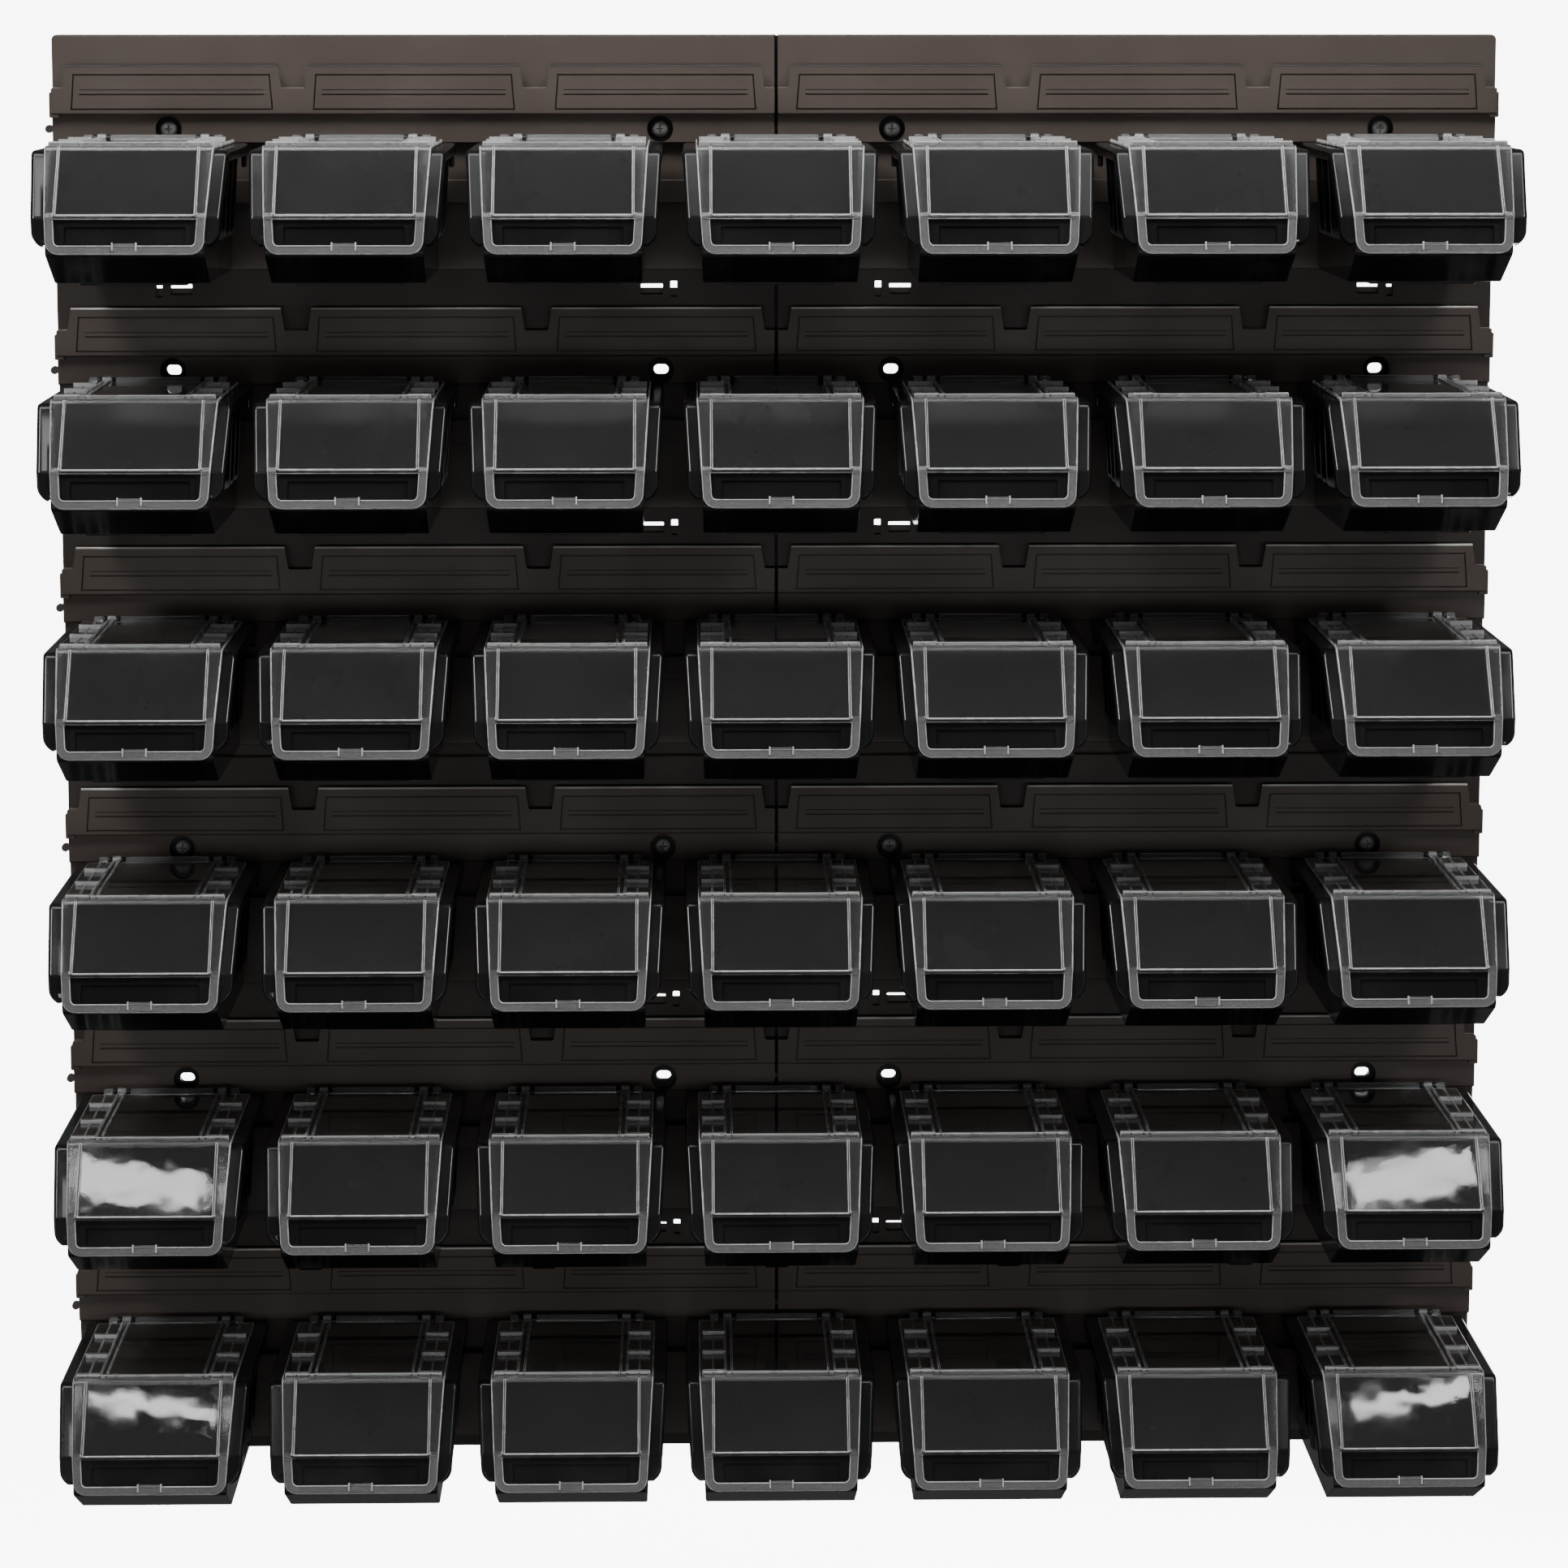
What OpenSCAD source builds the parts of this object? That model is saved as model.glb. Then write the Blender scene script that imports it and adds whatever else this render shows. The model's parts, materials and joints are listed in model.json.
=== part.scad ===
// Wall-mounted bin rack: four moulded wall panels, six rows of hook-on bins with hinged clear lids.
// The wall is the plane y = 0, the front faces -Y, +Z is up, the origin is the middle of the back.
// Side outlines are drawn as [distance from the wall, height]; heights count from a row's screw line.

/* [Bin] */
// Width of a bin across its ears, at the lid's ridge
bin_w = 100; // [94:0.5:112]
// Free gap between neighbouring bins
bin_gap = 10.3; // [6:0.1:20]
// Height from the lid's ridge to the underside of the bin's floor
bin_h = 70; // [66:0.5:90]
// Drop of the lid's ridge below the screw line
lid_drop = 5; // [4:0.1:8]
// Length from the bin's back to the lid's ridge
ridge_run = 112.4; // [100:0.1:140]
// Forward run of the sloping window
window_reach = 24.6; // [16:0.1:32]
// Height of the sloping window
window_fall = 34.5; // [28:0.1:40]
// Forward run of the front below the window
front_reach = 5.5; // [2:0.1:9]
// Height of the front below the window
front_fall = 18.9; // [16:0.1:24]
// Length of the bin's floor
floor_run = 109.4; // [90:0.1:120]
// Width of the bin's floor
floor_w = 79.4; // [72:0.1:84]
// Side walls' lean outwards, in degrees
wall_lean = 1.5; // [0.5:0.1:2.5]
// Thickness of the bin's walls
bin_wall = 1.8; // [1.2:0.1:2.6]

/* [Rim and ears] */
// Thickness of the rim that runs along the top and down the front
rim_t = 2.2; // [1.6:0.1:3]
// Depth of the skirt at the rim's outer edge
skirt_h = 6; // [4:0.1:9]
// Thickness of the skirt
skirt_t = 1.8; // [1.2:0.1:2.6]
// Height by which the ears end above the lid's lower edge
ear_rise = 4.4; // [2:0.1:8]
// Radius of the ears' lower corners
ear_r = 8; // [4:0.1:10]
// Lean of the ears and of the lid's edges, in degrees
ear_lean = 3.5; // [1:0.1:4.5]
// Thickness of the upright ribs on the bin's sides
side_rib_t = 2; // [1.2:0.1:3]
// Distance from the bin's back to the first upright rib
side_rib_first = 48; // [30:0.5:56]
// Spacing of the upright ribs
side_rib_pitch = 22; // [14:0.5:26]
// Step from the ears' outer face in to the upright ribs
side_rib_step = 0.8; // [0.4:0.1:2]
// Width of the raised skid under the floor
skid_w = 55; // [40:0.5:64]
// Height of the skid
skid_h = 1.6; // [1:0.1:3]
// Distance from the floor's ends to the skid
skid_inset = 6; // [3:0.5:12]
// Width of the label recess in the front
label_w = 61; // [48:0.5:66]
// Height of the label recess
label_h = 9.6; // [7:0.1:11]
// Depth of the label recess
label_cut = 0.9; // [0.5:0.05:1]

/* [Lid] */
// Width of the lid at its ridge
lid_w = 86; // [80:0.5:90]
// Thickness of the lid
lid_t = 2; // [1.4:0.1:2.6]
// Gap between the lid and the rim under it
lid_gap = 0.3; // [0.2:0.05:0.6]
// Radius of the lid's lower corners
lid_r = 7; // [4:0.1:9]
// Width of the frame round the label opening
frame_bar = 4.6; // [3.5:0.1:6]
// Radius of the label opening's corners
opening_r = 2; // [1:0.1:3]
// Width of the pull tab
tab_w = 12; // [8:0.5:18]
// Height of the pull tab
tab_h = 5.8; // [4:0.1:8]
// Thickness of the pull tab in front of the lid
tab_t = 1.2; // [0.6:0.1:2]
// Distance from the lid's middle to each window rib
window_rib_x = 35.5; // [30:0.1:37]
// Width of a window rib
window_rib_w = 1.6; // [1:0.1:2.4]
// Height of the ribs on the lid
lid_rib_h = 1.2; // [0.6:0.1:1.8]
// Width of the ridge band
ridge_band = 4; // [3:0.1:6]
// Width of the long ribs that carry the hinge knuckles
long_rib_w = 1.2; // [0.8:0.1:1.5]
// Width of the short cross ribs
cross_rib_w = 3; // [2:0.1:4]
// Length of the short cross ribs
cross_rib_l = 9; // [6:0.1:10]
// Distance from the ridge to the first cross rib
cross_rib_first = 7; // [6.5:0.1:12]
// Spacing of the cross ribs
cross_rib_pitch = 36; // [24:0.5:38]

/* [Hinge] */
// Distance from the bin's middle to each hinge knuckle
hinge_x = 27.3; // [24:0.1:29]
// Radius of the rods on the bin
rod_r = 1.5; // [1:0.05:1.8]
// Radial play between rod and knuckle
rod_play = 0.2; // [0.1:0.05:0.3]
// Outer radius of the lid's knuckles
knuckle_r = 3.2; // [2.8:0.05:3.6]
// Width of a knuckle
knuckle_w = 4.6; // [4:0.1:5.4]
// Side play between knuckle and bracket
knuckle_play = 0.3; // [0.2:0.05:0.5]
// Thickness of the brackets that hold the rods
bracket_t = 2; // [1.4:0.1:2.6]
// Width of the snap mouth under a knuckle
snap_w = 2.6; // [2:0.05:2.8]
// Gap between the knuckles and the bin's back wall
knuckle_gap = 0.4; // [0.3:0.05:1]
// Radius of the lid's rounded rear bar
rear_bar_r = 2.6; // [2.2:0.05:2.8]
// Drop of the hinge axis below the lid's top face
axis_drop = 0.2; // [0:0.05:0.6]

/* [Hook and rail] */
// Width of a bin's hook
hook_w = 60; // [40:0.5:70]
// Thickness of the hook
hook_t = 2.2; // [1.6:0.1:3]
// Depth to which the hook drops behind the rail
hook_drop = 9; // [6:0.1:12]
// Play in front of and behind the hook
hook_play = 0.4; // [0.3:0.05:0.8]
// Gap between the hook and the rail's top edge
seat_gap = 0.2; // [0.1:0.05:0.4]
// Free height under the hook's tip
trough_spare = 1; // [0.5:0.1:3]
// Drop of the rail's top edge below the screw line
rail_drop = 27; // [25:0.1:32]
// Thickness of the rail's lip
rail_t = 2.2; // [1.6:0.1:3]
// Lift beyond the hook's depth that frees a bin
lift_spare = 2; // [1:0.1:3]
// Thickness of the ribs that hold the bin level at the back
heel_t = 2; // [1.4:0.1:3]
// Gap between these ribs and the panel
heel_gap = 0.3; // [0.2:0.05:0.6]

/* [Panel] */
// Wall thickness of the panels
skin_t = 2.5; // [2:0.1:3]
// Free space between the panel's deepest recess and the wall
back_gap = 1.5; // [0.5:0.1:3]
// Rise of the plain face over the recess
face_rise = 2; // [1.4:0.1:3]
// Rise of the face above the ledge line over the plain face
ledge_rise = 0.8; // [0.4:0.1:1.4]
// Rise of the screw band over the recess
band_rise = 5; // [4.6:0.1:6]
// Rise of the louvre strip over the screw band
strip_rise = 3.5; // [2.5:0.1:5]
// Height of the screw band
band_h = 15.4; // [15:0.1:18]
// Height of the louvre strip
strip_h = 26.3; // [22:0.1:34]
// Free height of the strip's upper lip
lip_free = 12.4; // [8:0.1:15]
// Width of the notches in the lip, at the top
notch_w = 16.5; // [10:0.5:24]
// Lean of the notches' sides, in millimetres
notch_lean = 2; // [0.5:0.1:4]
// Height of the plain face above the top strip
top_margin = 16; // [8:0.5:30]
// Height of the panel below the lowest bin
bottom_margin = 5.4; // [4:0.1:16]
// Free height between a bin and the strip below it
row_gap = 18.4; // [16:0.1:40]
// Height of the ledge line above the lowest point of the bins
ledge_up = 1.6; // [0.5:0.1:4]
// Radius of the panel's corners
panel_r = 3; // [1:0.1:5]
// Gap between neighbouring panels
panel_gap = 0.4; // [0.2:0.05:0.5]
// Thickness of the ribs behind the panel
back_rib_t = 2; // [1.4:0.1:3]

/* [Fixing slots] */
// Distance from the panel's side edge to its fixing slots
slot_inset = 62; // [50:0.5:75]
// Length of a fixing slot
slot_l = 8; // [7:0.1:8.4]
// Width of a fixing slot
slot_w = 5.5; // [4.6:0.1:6]
// Radius of the round seat for the screw head
seat_r = 7; // [6:0.1:7.3]
// Thickness of material under the screw head
seat_floor = 5; // [4:0.1:6]
// Wall round the seat
boss_wall = 2; // [1.4:0.1:3]
// Height of the small openings under each bin row
vent_h = 5.8; // [4:0.1:6.5]
// Drop of the small openings' top below the bins
vent_drop = 6.2; // [5.5:0.1:8]
// Width of the wide opening
vent_wide = 11.8; // [8:0.1:14]
// Width of the narrow opening
vent_narrow = 3.6; // [3:0.1:5]
// Distance from the slot's line to the wide opening's middle
vent_wide_x = 4.8; // [4:0.1:8]
// Distance from the slot's line to the narrow opening's middle
vent_narrow_x = 7; // [5:0.1:10]

/* [Panel lugs] */
// Reach of the edge lugs that lock the panels together
lug_reach = 4.4; // [3.8:0.1:6]
// Radius of a lug's head
lug_r = 2.2; // [1.6:0.05:2.6]
// Height of a lug's neck
lug_neck = 2.4; // [1.6:0.1:3]
// Play round a lug in its socket
lug_play = 0.3; // [0.2:0.05:0.5]

/* [Wall screws] */
// Radius of the screw's head
head_r = 4.6; // [4.4:0.05:5.4]
// Height of the screw's head
head_h = 3; // [2:0.1:3.6]
// Radius of the plain shank
shank_r = 1.8; // [1.5:0.05:2]
// Radius of the threaded end
thread_r = 2.1; // [2.05:0.05:2.3]
// Length of the threaded end behind the wall's face
thread_l = 24; // [15:0.5:40]
// Length of the screw's point
point_l = 4; // [3:0.5:6]
// Size of the cross drive across its arms
drive_w = 4.6; // [3:0.1:5]
// Width of one arm of the cross drive
drive_t = 1; // [0.6:0.1:1.4]
// Depth of the cross drive
drive_cut = 1.4; // [0.8:0.1:1.8]

/* [Hidden] */
$fn = 48;
COLUMNS = 7;
PANEL_ROWS = 3;
PANELS_UP = 2;
ROWS = PANEL_ROWS * PANELS_UP;
SIDES = [-1, 1];

// Depths, counted from the wall
recess_d = back_gap + skin_t;
base_d = recess_d + face_rise;
lower_d = base_d + ledge_rise;
band_d = recess_d + band_rise;
strip_d = band_d + strip_rise;
lip_in_d = strip_d - skin_t;
hook_back_d = recess_d + hook_play;
hook_front_d = hook_back_d + hook_t;
rail_in_d = hook_front_d + hook_play;
rail_out_d = rail_in_d + rail_t;
rear_clear = 1.1;
rear_d = max(strip_d, rail_out_d) + rear_clear;
axis_d = rear_d + bin_wall + knuckle_gap + knuckle_r;
ridge_d = rear_d + ridge_run;
deep = ridge_d + window_reach + front_reach + skin_t;

// Heights, counted from a row's screw line
top_z = -lid_drop;
floor_z = top_z - bin_h;
skid_z = floor_z - skid_h;
axis_z = top_z - axis_drop;
window_z = top_z - window_fall;
lid_low_z = window_z - front_fall;
ear_low_z = lid_low_z + ear_rise;
rim_depth = lid_t + lid_gap;
rim_z = top_z - rim_depth;
half_band = band_h / 2;
strip_z = half_band + strip_h;
trough_z = -rail_drop - hook_drop - trough_spare;
rail_low_z = trough_z - skin_t;
ledge_z = skid_z + ledge_up;
lift_travel = hook_drop + lift_spare;

// Rack layout
bin_pitch = bin_w + bin_gap;
panel_w = COLUMNS * bin_pitch / 2;
row_pitch = strip_z + row_gap - skid_z;
first_drop = top_margin + strip_z;
panel_h = first_drop + (PANEL_ROWS - 1) * row_pitch - skid_z + bottom_margin;
slot_x = panel_w / 2 - slot_inset;
vent_z = skid_z - vent_drop;
// Rows of a panel, counted from its top, that have fixing slots, and the first of them that has screws
SLOT_ROWS = [0, 1];
SCREW_ROW = 0;
// Spots of the ribs behind a panel, in thirds of the panel's half width
BACK_RIBS = [-1, 0, 1];
SIDE_RIBS = 3;
CROSS_RIBS = 3;
bite = 1;
over = 1;

function line_drop(q) = first_drop + q * row_pitch;
function row_z(row) = panel_h * (1 - floor((row - 1) / PANEL_ROWS))
    - line_drop((row - 1) % PANEL_ROWS);
function column_x(column) = (column - (COLUMNS + 1) / 2) * bin_pitch;
function lid_name(row, column) = str("lid_r", row, "_c", column);
function bins_name(row) = str("bins_row_", row);

// Outlines: inset() gives a path moved to its right by t, with mitred corners
function unit(v) = v / norm(v);
function right_of(v) = [v[1], -v[0]];
function reversed(path) = [for (i = [len(path) - 1 : -1 : 0]) path[i]];
function inset(path, t) = [
    for (i = [0 : len(path) - 1])
        let (
            last = len(path) - 1,
            before = right_of(unit(path[max(i, 1)] - path[max(i, 1) - 1])),
            after = right_of(unit(path[min(i, last - 1) + 1] - path[min(i, last - 1)]))
        )
        path[i] + t * (before + after) / (1 + before * after)
];
function between(path, t0, t1) = concat(inset(path, t0), reversed(inset(path, t1)));

// The lid's outer face from its back to the given height of the front below the window
ridge_at = [ridge_d, top_z];
window_low = [ridge_d + window_reach, window_z];
front_way = [front_reach, -front_fall];
function lid_line(start_d, fall) = [
    [start_d, top_z],
    ridge_at,
    window_low,
    window_low + front_way * fall / front_fall
];

function half_at(w, lean, z_top, z) = w / 2 - (z_top - z) * tan(lean);

// Extrudes a side outline across the rack, w wide and centred on x
module across(w, x = 0) {
    translate([x, 0, 0])
        rotate([90, 0, -90])
            linear_extrude(w, center = true)
                children();
}

// Extrudes a front outline from distance d to d + t from the wall
module slab(d, t) {
    translate([0, -d, 0])
        rotate([90, 0, 0])
            linear_extrude(t)
                children();
}

// A block from [x, distance, height] to [x, distance, height]
module block(low, high) {
    translate([low[0], -high[1], low[2]])
        cube([high[0] - low[0], high[1] - low[1], high[2] - low[2]]);
}

// A bar along x, centred on the given spot
module bar(r, l, x, d, z) {
    translate([x, -d, z])
        rotate([0, 90, 0])
            cylinder(h = l, r = r, center = true);
}

// A leaning front outline with round lower corners
module leaning(w, lean, z_top, z_low, r) {
    z_r = z_low + r;
    half_r = half_at(w, lean, z_top, z_r);
    half_top = half_at(w, lean, z_top, 0);
    polygon([[-half_top, 0], [half_top, 0], [half_r, z_r], [-half_r, z_r]]);
    for (s = SIDES)
        translate([s * (half_r - r), z_r])
            circle(r);
    translate([-half_r + r, z_low])
        square([2 * (half_r - r), r + over]);
}

module rounded(w, h, r) {
    square([w - 2 * r, h], center = true);
    square([w, h - 2 * r], center = true);
    for (sx = SIDES, sz = SIDES)
        translate([sx * (w / 2 - r), sz * (h / 2 - r)])
            circle(r);
}

// The bin's side walls seen from the front, t inside their outer face
module wall_front(t) {
    half_low = floor_w / 2 - t;
    half_top = half_low - floor_z * tan(wall_lean);
    polygon([[-half_top, 0], [half_top, 0], [half_low, floor_z], [-half_low, floor_z]]);
}

// Bin
nose = inset(lid_line(rear_d, front_fall), rim_depth);
floor_nose = [rear_d + floor_run, floor_z];
floor_back = [rear_d, floor_z];
ear_line = lid_line(rear_d, front_fall - ear_rise);

module bin_body() {
    inner = inset([nose[2], nose[3], floor_nose, floor_back], bin_wall);
    hollow = concat(
        [[rear_d + bin_wall, over], [deep, over], [deep, nose[2][1]], [inner[0][0], nose[2][1]]],
        [inner[0], inner[1], inner[2], [rear_d + bin_wall, inner[3][1]]]
    );
    difference() {
        intersection() {
            across(bin_w) polygon(concat(nose, [floor_nose, floor_back]));
            slab(0, deep) wall_front(0);
        }
        intersection() {
            across(bin_w) polygon(hollow);
            slab(0, deep) wall_front(bin_wall);
        }
    }
}

module rim() {
    intersection() {
        across(2 * bin_w) polygon(between(ear_line, rim_depth, rim_depth + rim_t));
        slab(0, deep) difference() {
            leaning(bin_w, ear_lean, top_z, ear_low_z, ear_r);
            wall_front(bin_wall / 2);
        }
    }
    intersection() {
        across(2 * bin_w) polygon(between(ear_line, rim_depth, rim_depth + skirt_h));
        slab(0, deep) difference() {
            leaning(bin_w, ear_lean, top_z, ear_low_z, ear_r);
            leaning(bin_w - 2 * skirt_t, ear_lean, top_z, ear_low_z + skirt_t, ear_r - skirt_t);
            wall_front(bin_wall / 2);
        }
    }
}

module side_ribs() {
    for (i = [0 : SIDE_RIBS - 1])
        slab(rear_d + side_rib_first + i * side_rib_pitch, side_rib_t)
            intersection() {
                difference() {
                    leaning(bin_w - 2 * side_rib_step, ear_lean, top_z, ear_low_z, ear_r);
                    wall_front(bin_wall / 2);
                }
                translate([-bin_w, ear_low_z])
                    square([2 * bin_w, rim_z - rim_t / 2 - ear_low_z]);
            }
}

module hook() {
    seat_z = -rail_drop + seat_gap;
    root_d = rear_d + bin_wall / 2;
    across(hook_w) polygon([
        [root_d, seat_z + hook_t],
        [hook_back_d, seat_z + hook_t],
        [hook_back_d, -rail_drop - hook_drop],
        [hook_front_d, -rail_drop - hook_drop],
        [hook_front_d, seat_z],
        [root_d, seat_z]
    ]);
    heel_top = rail_low_z - lift_travel - over;
    for (s = SIDES)
        block(
            [s * hook_w / 2 - heel_t / 2, lower_d + heel_gap, ledge_z + over],
            [s * hook_w / 2 + heel_t / 2, root_d, heel_top]
        );
}

// Two brackets and the rod between them, on the back wall's inner face
module hinge_seat(x) {
    gap = knuckle_w / 2 + knuckle_play;
    root_d = rear_d + bin_wall / 2;
    nose_r = rod_r + bite;
    for (s = SIDES)
        across(bracket_t, x + s * (gap + bracket_t / 2)) {
            polygon([
                [root_d, axis_z - 3 * knuckle_r],
                [axis_d, axis_z - nose_r],
                [axis_d, axis_z + nose_r],
                [root_d, rim_z - over]
            ]);
            translate([axis_d, axis_z])
                circle(nose_r);
        }
    bar(rod_r, 2 * (gap + bracket_t / 2), x, axis_d, axis_z);
}

module skid() {
    block(
        [-skid_w / 2, rear_d + skid_inset, skid_z],
        [skid_w / 2, rear_d + floor_run - skid_inset, floor_z + bin_wall / 2]
    );
}

// The label recess lies in the middle of the front below the window
module label_recess() {
    mid = (nose[2] + nose[3]) / 2;
    way = unit(nose[3] - nose[2]) * label_h / 2;
    across(label_w) polygon(between([mid - way, mid + way], -rim_depth, label_cut));
}

module bin() {
    color("#17171a") difference() {
        union() {
            bin_body();
            rim();
            side_ribs();
            hook();
            skid();
            for (s = SIDES) hinge_seat(s * hinge_x);
        }
        label_recess();
    }
}

// Lid
hinge_zone = knuckle_w / 2 + 2 * knuckle_play + bracket_t;
zone_d = axis_d + rod_r + bite + 2 * knuckle_play;
bar_end = floor_w / 2 - bin_wall - over;
// Step from the long ribs' top down to the cross ribs' top
rib_step = 0.25;

module lid_plate() {
    difference() {
        union() {
            intersection() {
                across(bin_w) polygon(between(lid_line(axis_d, front_fall), 0, lid_t));
                slab(0, deep + over) leaning(lid_w, ear_lean, top_z, lid_low_z, lid_r);
            }
            bar(rear_bar_r, 2 * bar_end, 0, axis_d, axis_z);
        }
        for (s = SIDES)
            block(
                [s * hinge_x - hinge_zone, 0, rim_z - 2 * knuckle_r],
                [s * hinge_x + hinge_zone, zone_d, knuckle_r]
            );
    }
}

// Opening in the lid's front: the frame is as wide at its sides as at its foot
module label_opening() {
    half_w = half_at(lid_w, ear_lean, top_z, lid_low_z) - frame_bar;
    low_z = lid_low_z + frame_bar;
    high_z = window_z - over;
    slab(ridge_d, deep)
        translate([0, (low_z + high_z) / 2])
            rounded(2 * half_w, high_z - low_z, opening_r);
}

module lid_ribs() {
    sunk = lid_t / 2;
    back_d = zone_d + bite;
    for (s = SIDES) {
        across(window_rib_w, s * window_rib_x)
            polygon(between([ridge_at, window_low], -lid_rib_h, sunk));
        for (t = SIDES)
            block(
                [s * hinge_x + t * (knuckle_w - long_rib_w) / 2 - long_rib_w / 2, back_d, top_z - sunk],
                [s * hinge_x + t * (knuckle_w - long_rib_w) / 2 + long_rib_w / 2, ridge_d - bite, top_z + lid_rib_h]
            );
        for (i = [0 : CROSS_RIBS - 1])
            let (
                in_x = hinge_x + knuckle_w / 2 - bite / 2,
                d = ridge_d - cross_rib_first - i * cross_rib_pitch
            )
            block(
                [s > 0 ? in_x : -in_x - cross_rib_l, d - cross_rib_w / 2, top_z - sunk],
                [s > 0 ? in_x + cross_rib_l : -in_x, d + cross_rib_w / 2, top_z + lid_rib_h - rib_step]
            );
    }
    block(
        [-lid_w / 2 + bite, ridge_d - ridge_band, top_z - sunk],
        [lid_w / 2 - bite, ridge_d - bite / 2, top_z + lid_rib_h / 2]
    );
}

module knuckles() {
    for (s = SIDES)
        difference() {
            union() {
                bar(knuckle_r, knuckle_w, s * hinge_x, axis_d, axis_z);
                block(
                    [s * hinge_x - knuckle_w / 2, axis_d, top_z - lid_t],
                    [s * hinge_x + knuckle_w / 2, zone_d + 2 * bite, top_z + lid_rib_h]
                );
            }
            bar(rod_r + rod_play, bin_w / 2, s * hinge_x, axis_d, axis_z);
            block(
                [s * hinge_x - knuckle_w, axis_d - snap_w / 2, axis_z - 2 * knuckle_r],
                [s * hinge_x + knuckle_w, axis_d + snap_w / 2, axis_z]
            );
        }
}

module pull_tab() {
    foot = window_low + front_way;
    across(tab_w)
        polygon(between([foot - unit(front_way) * tab_h, foot - unit(front_way) * bite], -tab_t, lid_t / 2));
}

module lid() {
    color("gainsboro", 0.5) {
        difference() {
            union() {
                lid_plate();
                lid_ribs();
                pull_tab();
            }
            label_opening();
        }
        knuckles();
    }
}

// Panel
function row_front(z) = [
    [base_d, z + strip_z - lip_free],
    [lip_in_d, z + strip_z - lip_free],
    [lip_in_d, z + strip_z],
    [strip_d, z + strip_z],
    [strip_d, z + half_band],
    [band_d, z + half_band],
    [band_d, z - half_band],
    [recess_d, z - half_band],
    [recess_d, z + trough_z],
    [rail_in_d, z + trough_z],
    [rail_in_d, z - rail_drop],
    [rail_out_d, z - rail_drop],
    [rail_out_d, z + rail_low_z],
    [lower_d, z + rail_low_z],
    [lower_d, z + ledge_z],
    [base_d, z + ledge_z]
];

// The same skin seen from behind, t thick
function row_back(z, t) = [
    [base_d - t, z + strip_z - lip_free - t],
    [strip_d - t, z + strip_z - lip_free - t],
    [strip_d - t, z + half_band + t],
    [band_d - t, z + half_band + t],
    [band_d - t, z - half_band + t],
    [recess_d - t, z - half_band + t],
    [recess_d - t, z + rail_low_z],
    [lower_d - t, z + rail_low_z],
    [lower_d - t, z + ledge_z + t - ledge_rise],
    [base_d - t, z + ledge_z + t - ledge_rise]
];

function all_rows_front() = [for (q = [0 : PANEL_ROWS - 1]) each row_front(-line_drop(q))];
function all_rows_back(t) = [for (q = [0 : PANEL_ROWS - 1]) each row_back(-line_drop(q), t)];

// Heights inside a panel count from its top edge down to this
panel_low = -panel_h + panel_gap;
body_w = panel_w - panel_gap;

// The skin and the walls behind it run past the panel's edges, where its outline trims them flush
module panel_skin() {
    across(body_w + 2 * over) polygon(concat(
        [[base_d, over]],
        all_rows_front(),
        [[base_d, panel_low - over], [base_d - skin_t, panel_low - over]],
        reversed(all_rows_back(skin_t)),
        [[base_d - skin_t, over]]
    ));
}

// The two side walls, the ribs between them and the top and bottom walls
module panel_walls() {
    section = concat(
        [[0, over], [base_d - skin_t + bite, over]],
        all_rows_back(skin_t - bite),
        [[base_d - skin_t + bite, panel_low - over], [0, panel_low - over]]
    );
    side_x = (body_w - skin_t + over) / 2;
    for (s = SIDES)
        across(skin_t + over, s * side_x) polygon(section);
    for (k = BACK_RIBS)
        across(back_rib_t, k * panel_w / 6) polygon(section);
    for (z = [over, panel_low + skin_t])
        block(
            [-side_x, 0, z - skin_t - over],
            [side_x, base_d - skin_t + bite, z]
        );
}

module lip_notches() {
    half_top = notch_w / 2;
    half_low = half_top - notch_lean;
    for (q = [0 : PANEL_ROWS - 1], k = [-3 : 2 : 3])
        translate([k * panel_w / 6, 0, strip_z - line_drop(q)])
            slab(lip_in_d - bite / 2, skin_t + over) polygon([
                [-half_top, over],
                [half_top, over],
                [half_low, -lip_free],
                [-half_low, -lip_free]
            ]);
}

module fixing_bosses() {
    for (q = SLOT_ROWS, s = SIDES)
        translate([s * slot_x, 0, -line_drop(q)])
            slab(0, band_d - bite) circle(seat_r + boss_wall);
}

module fixing_slots() {
    for (q = SLOT_ROWS, s = SIDES)
        translate([s * slot_x, 0, -line_drop(q)]) {
            slab(seat_floor, deep) circle(seat_r);
            slab(-over, seat_floor + 2 * over) {
                square([slot_l - slot_w, slot_w], center = true);
                for (t = SIDES)
                    translate([t * (slot_l - slot_w) / 2, 0])
                        circle(slot_w / 2);
            }
        }
}

module vents() {
    for (q = SLOT_ROWS, s = SIDES)
        translate([s * slot_x, 0, vent_z - line_drop(q)])
            slab(-over, deep)
                for (v = [[-s * vent_wide_x, vent_wide], [s * vent_narrow_x, vent_narrow]])
                    translate([v[0], -vent_h / 2])
                        square([v[1], vent_h], center = true);
}

// Outline of a lug that starts at x = 0 and points to -x, grown by play
module lug_outline(play) {
    translate([-lug_reach + lug_r, 0])
        circle(lug_r + play);
    translate([-lug_reach + lug_r, -lug_neck / 2 - play])
        square([lug_reach - lug_r + 2 * skin_t, lug_neck + 2 * play]);
}

lug_deep = band_d - skin_t - lug_play;

module lug_sockets() {
    for (q = [0 : PANEL_ROWS - 1])
        translate([body_w / 2 + panel_gap, 0, -line_drop(q)])
            slab(-over, lug_deep + over + lug_play) lug_outline(lug_play);
}

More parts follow.
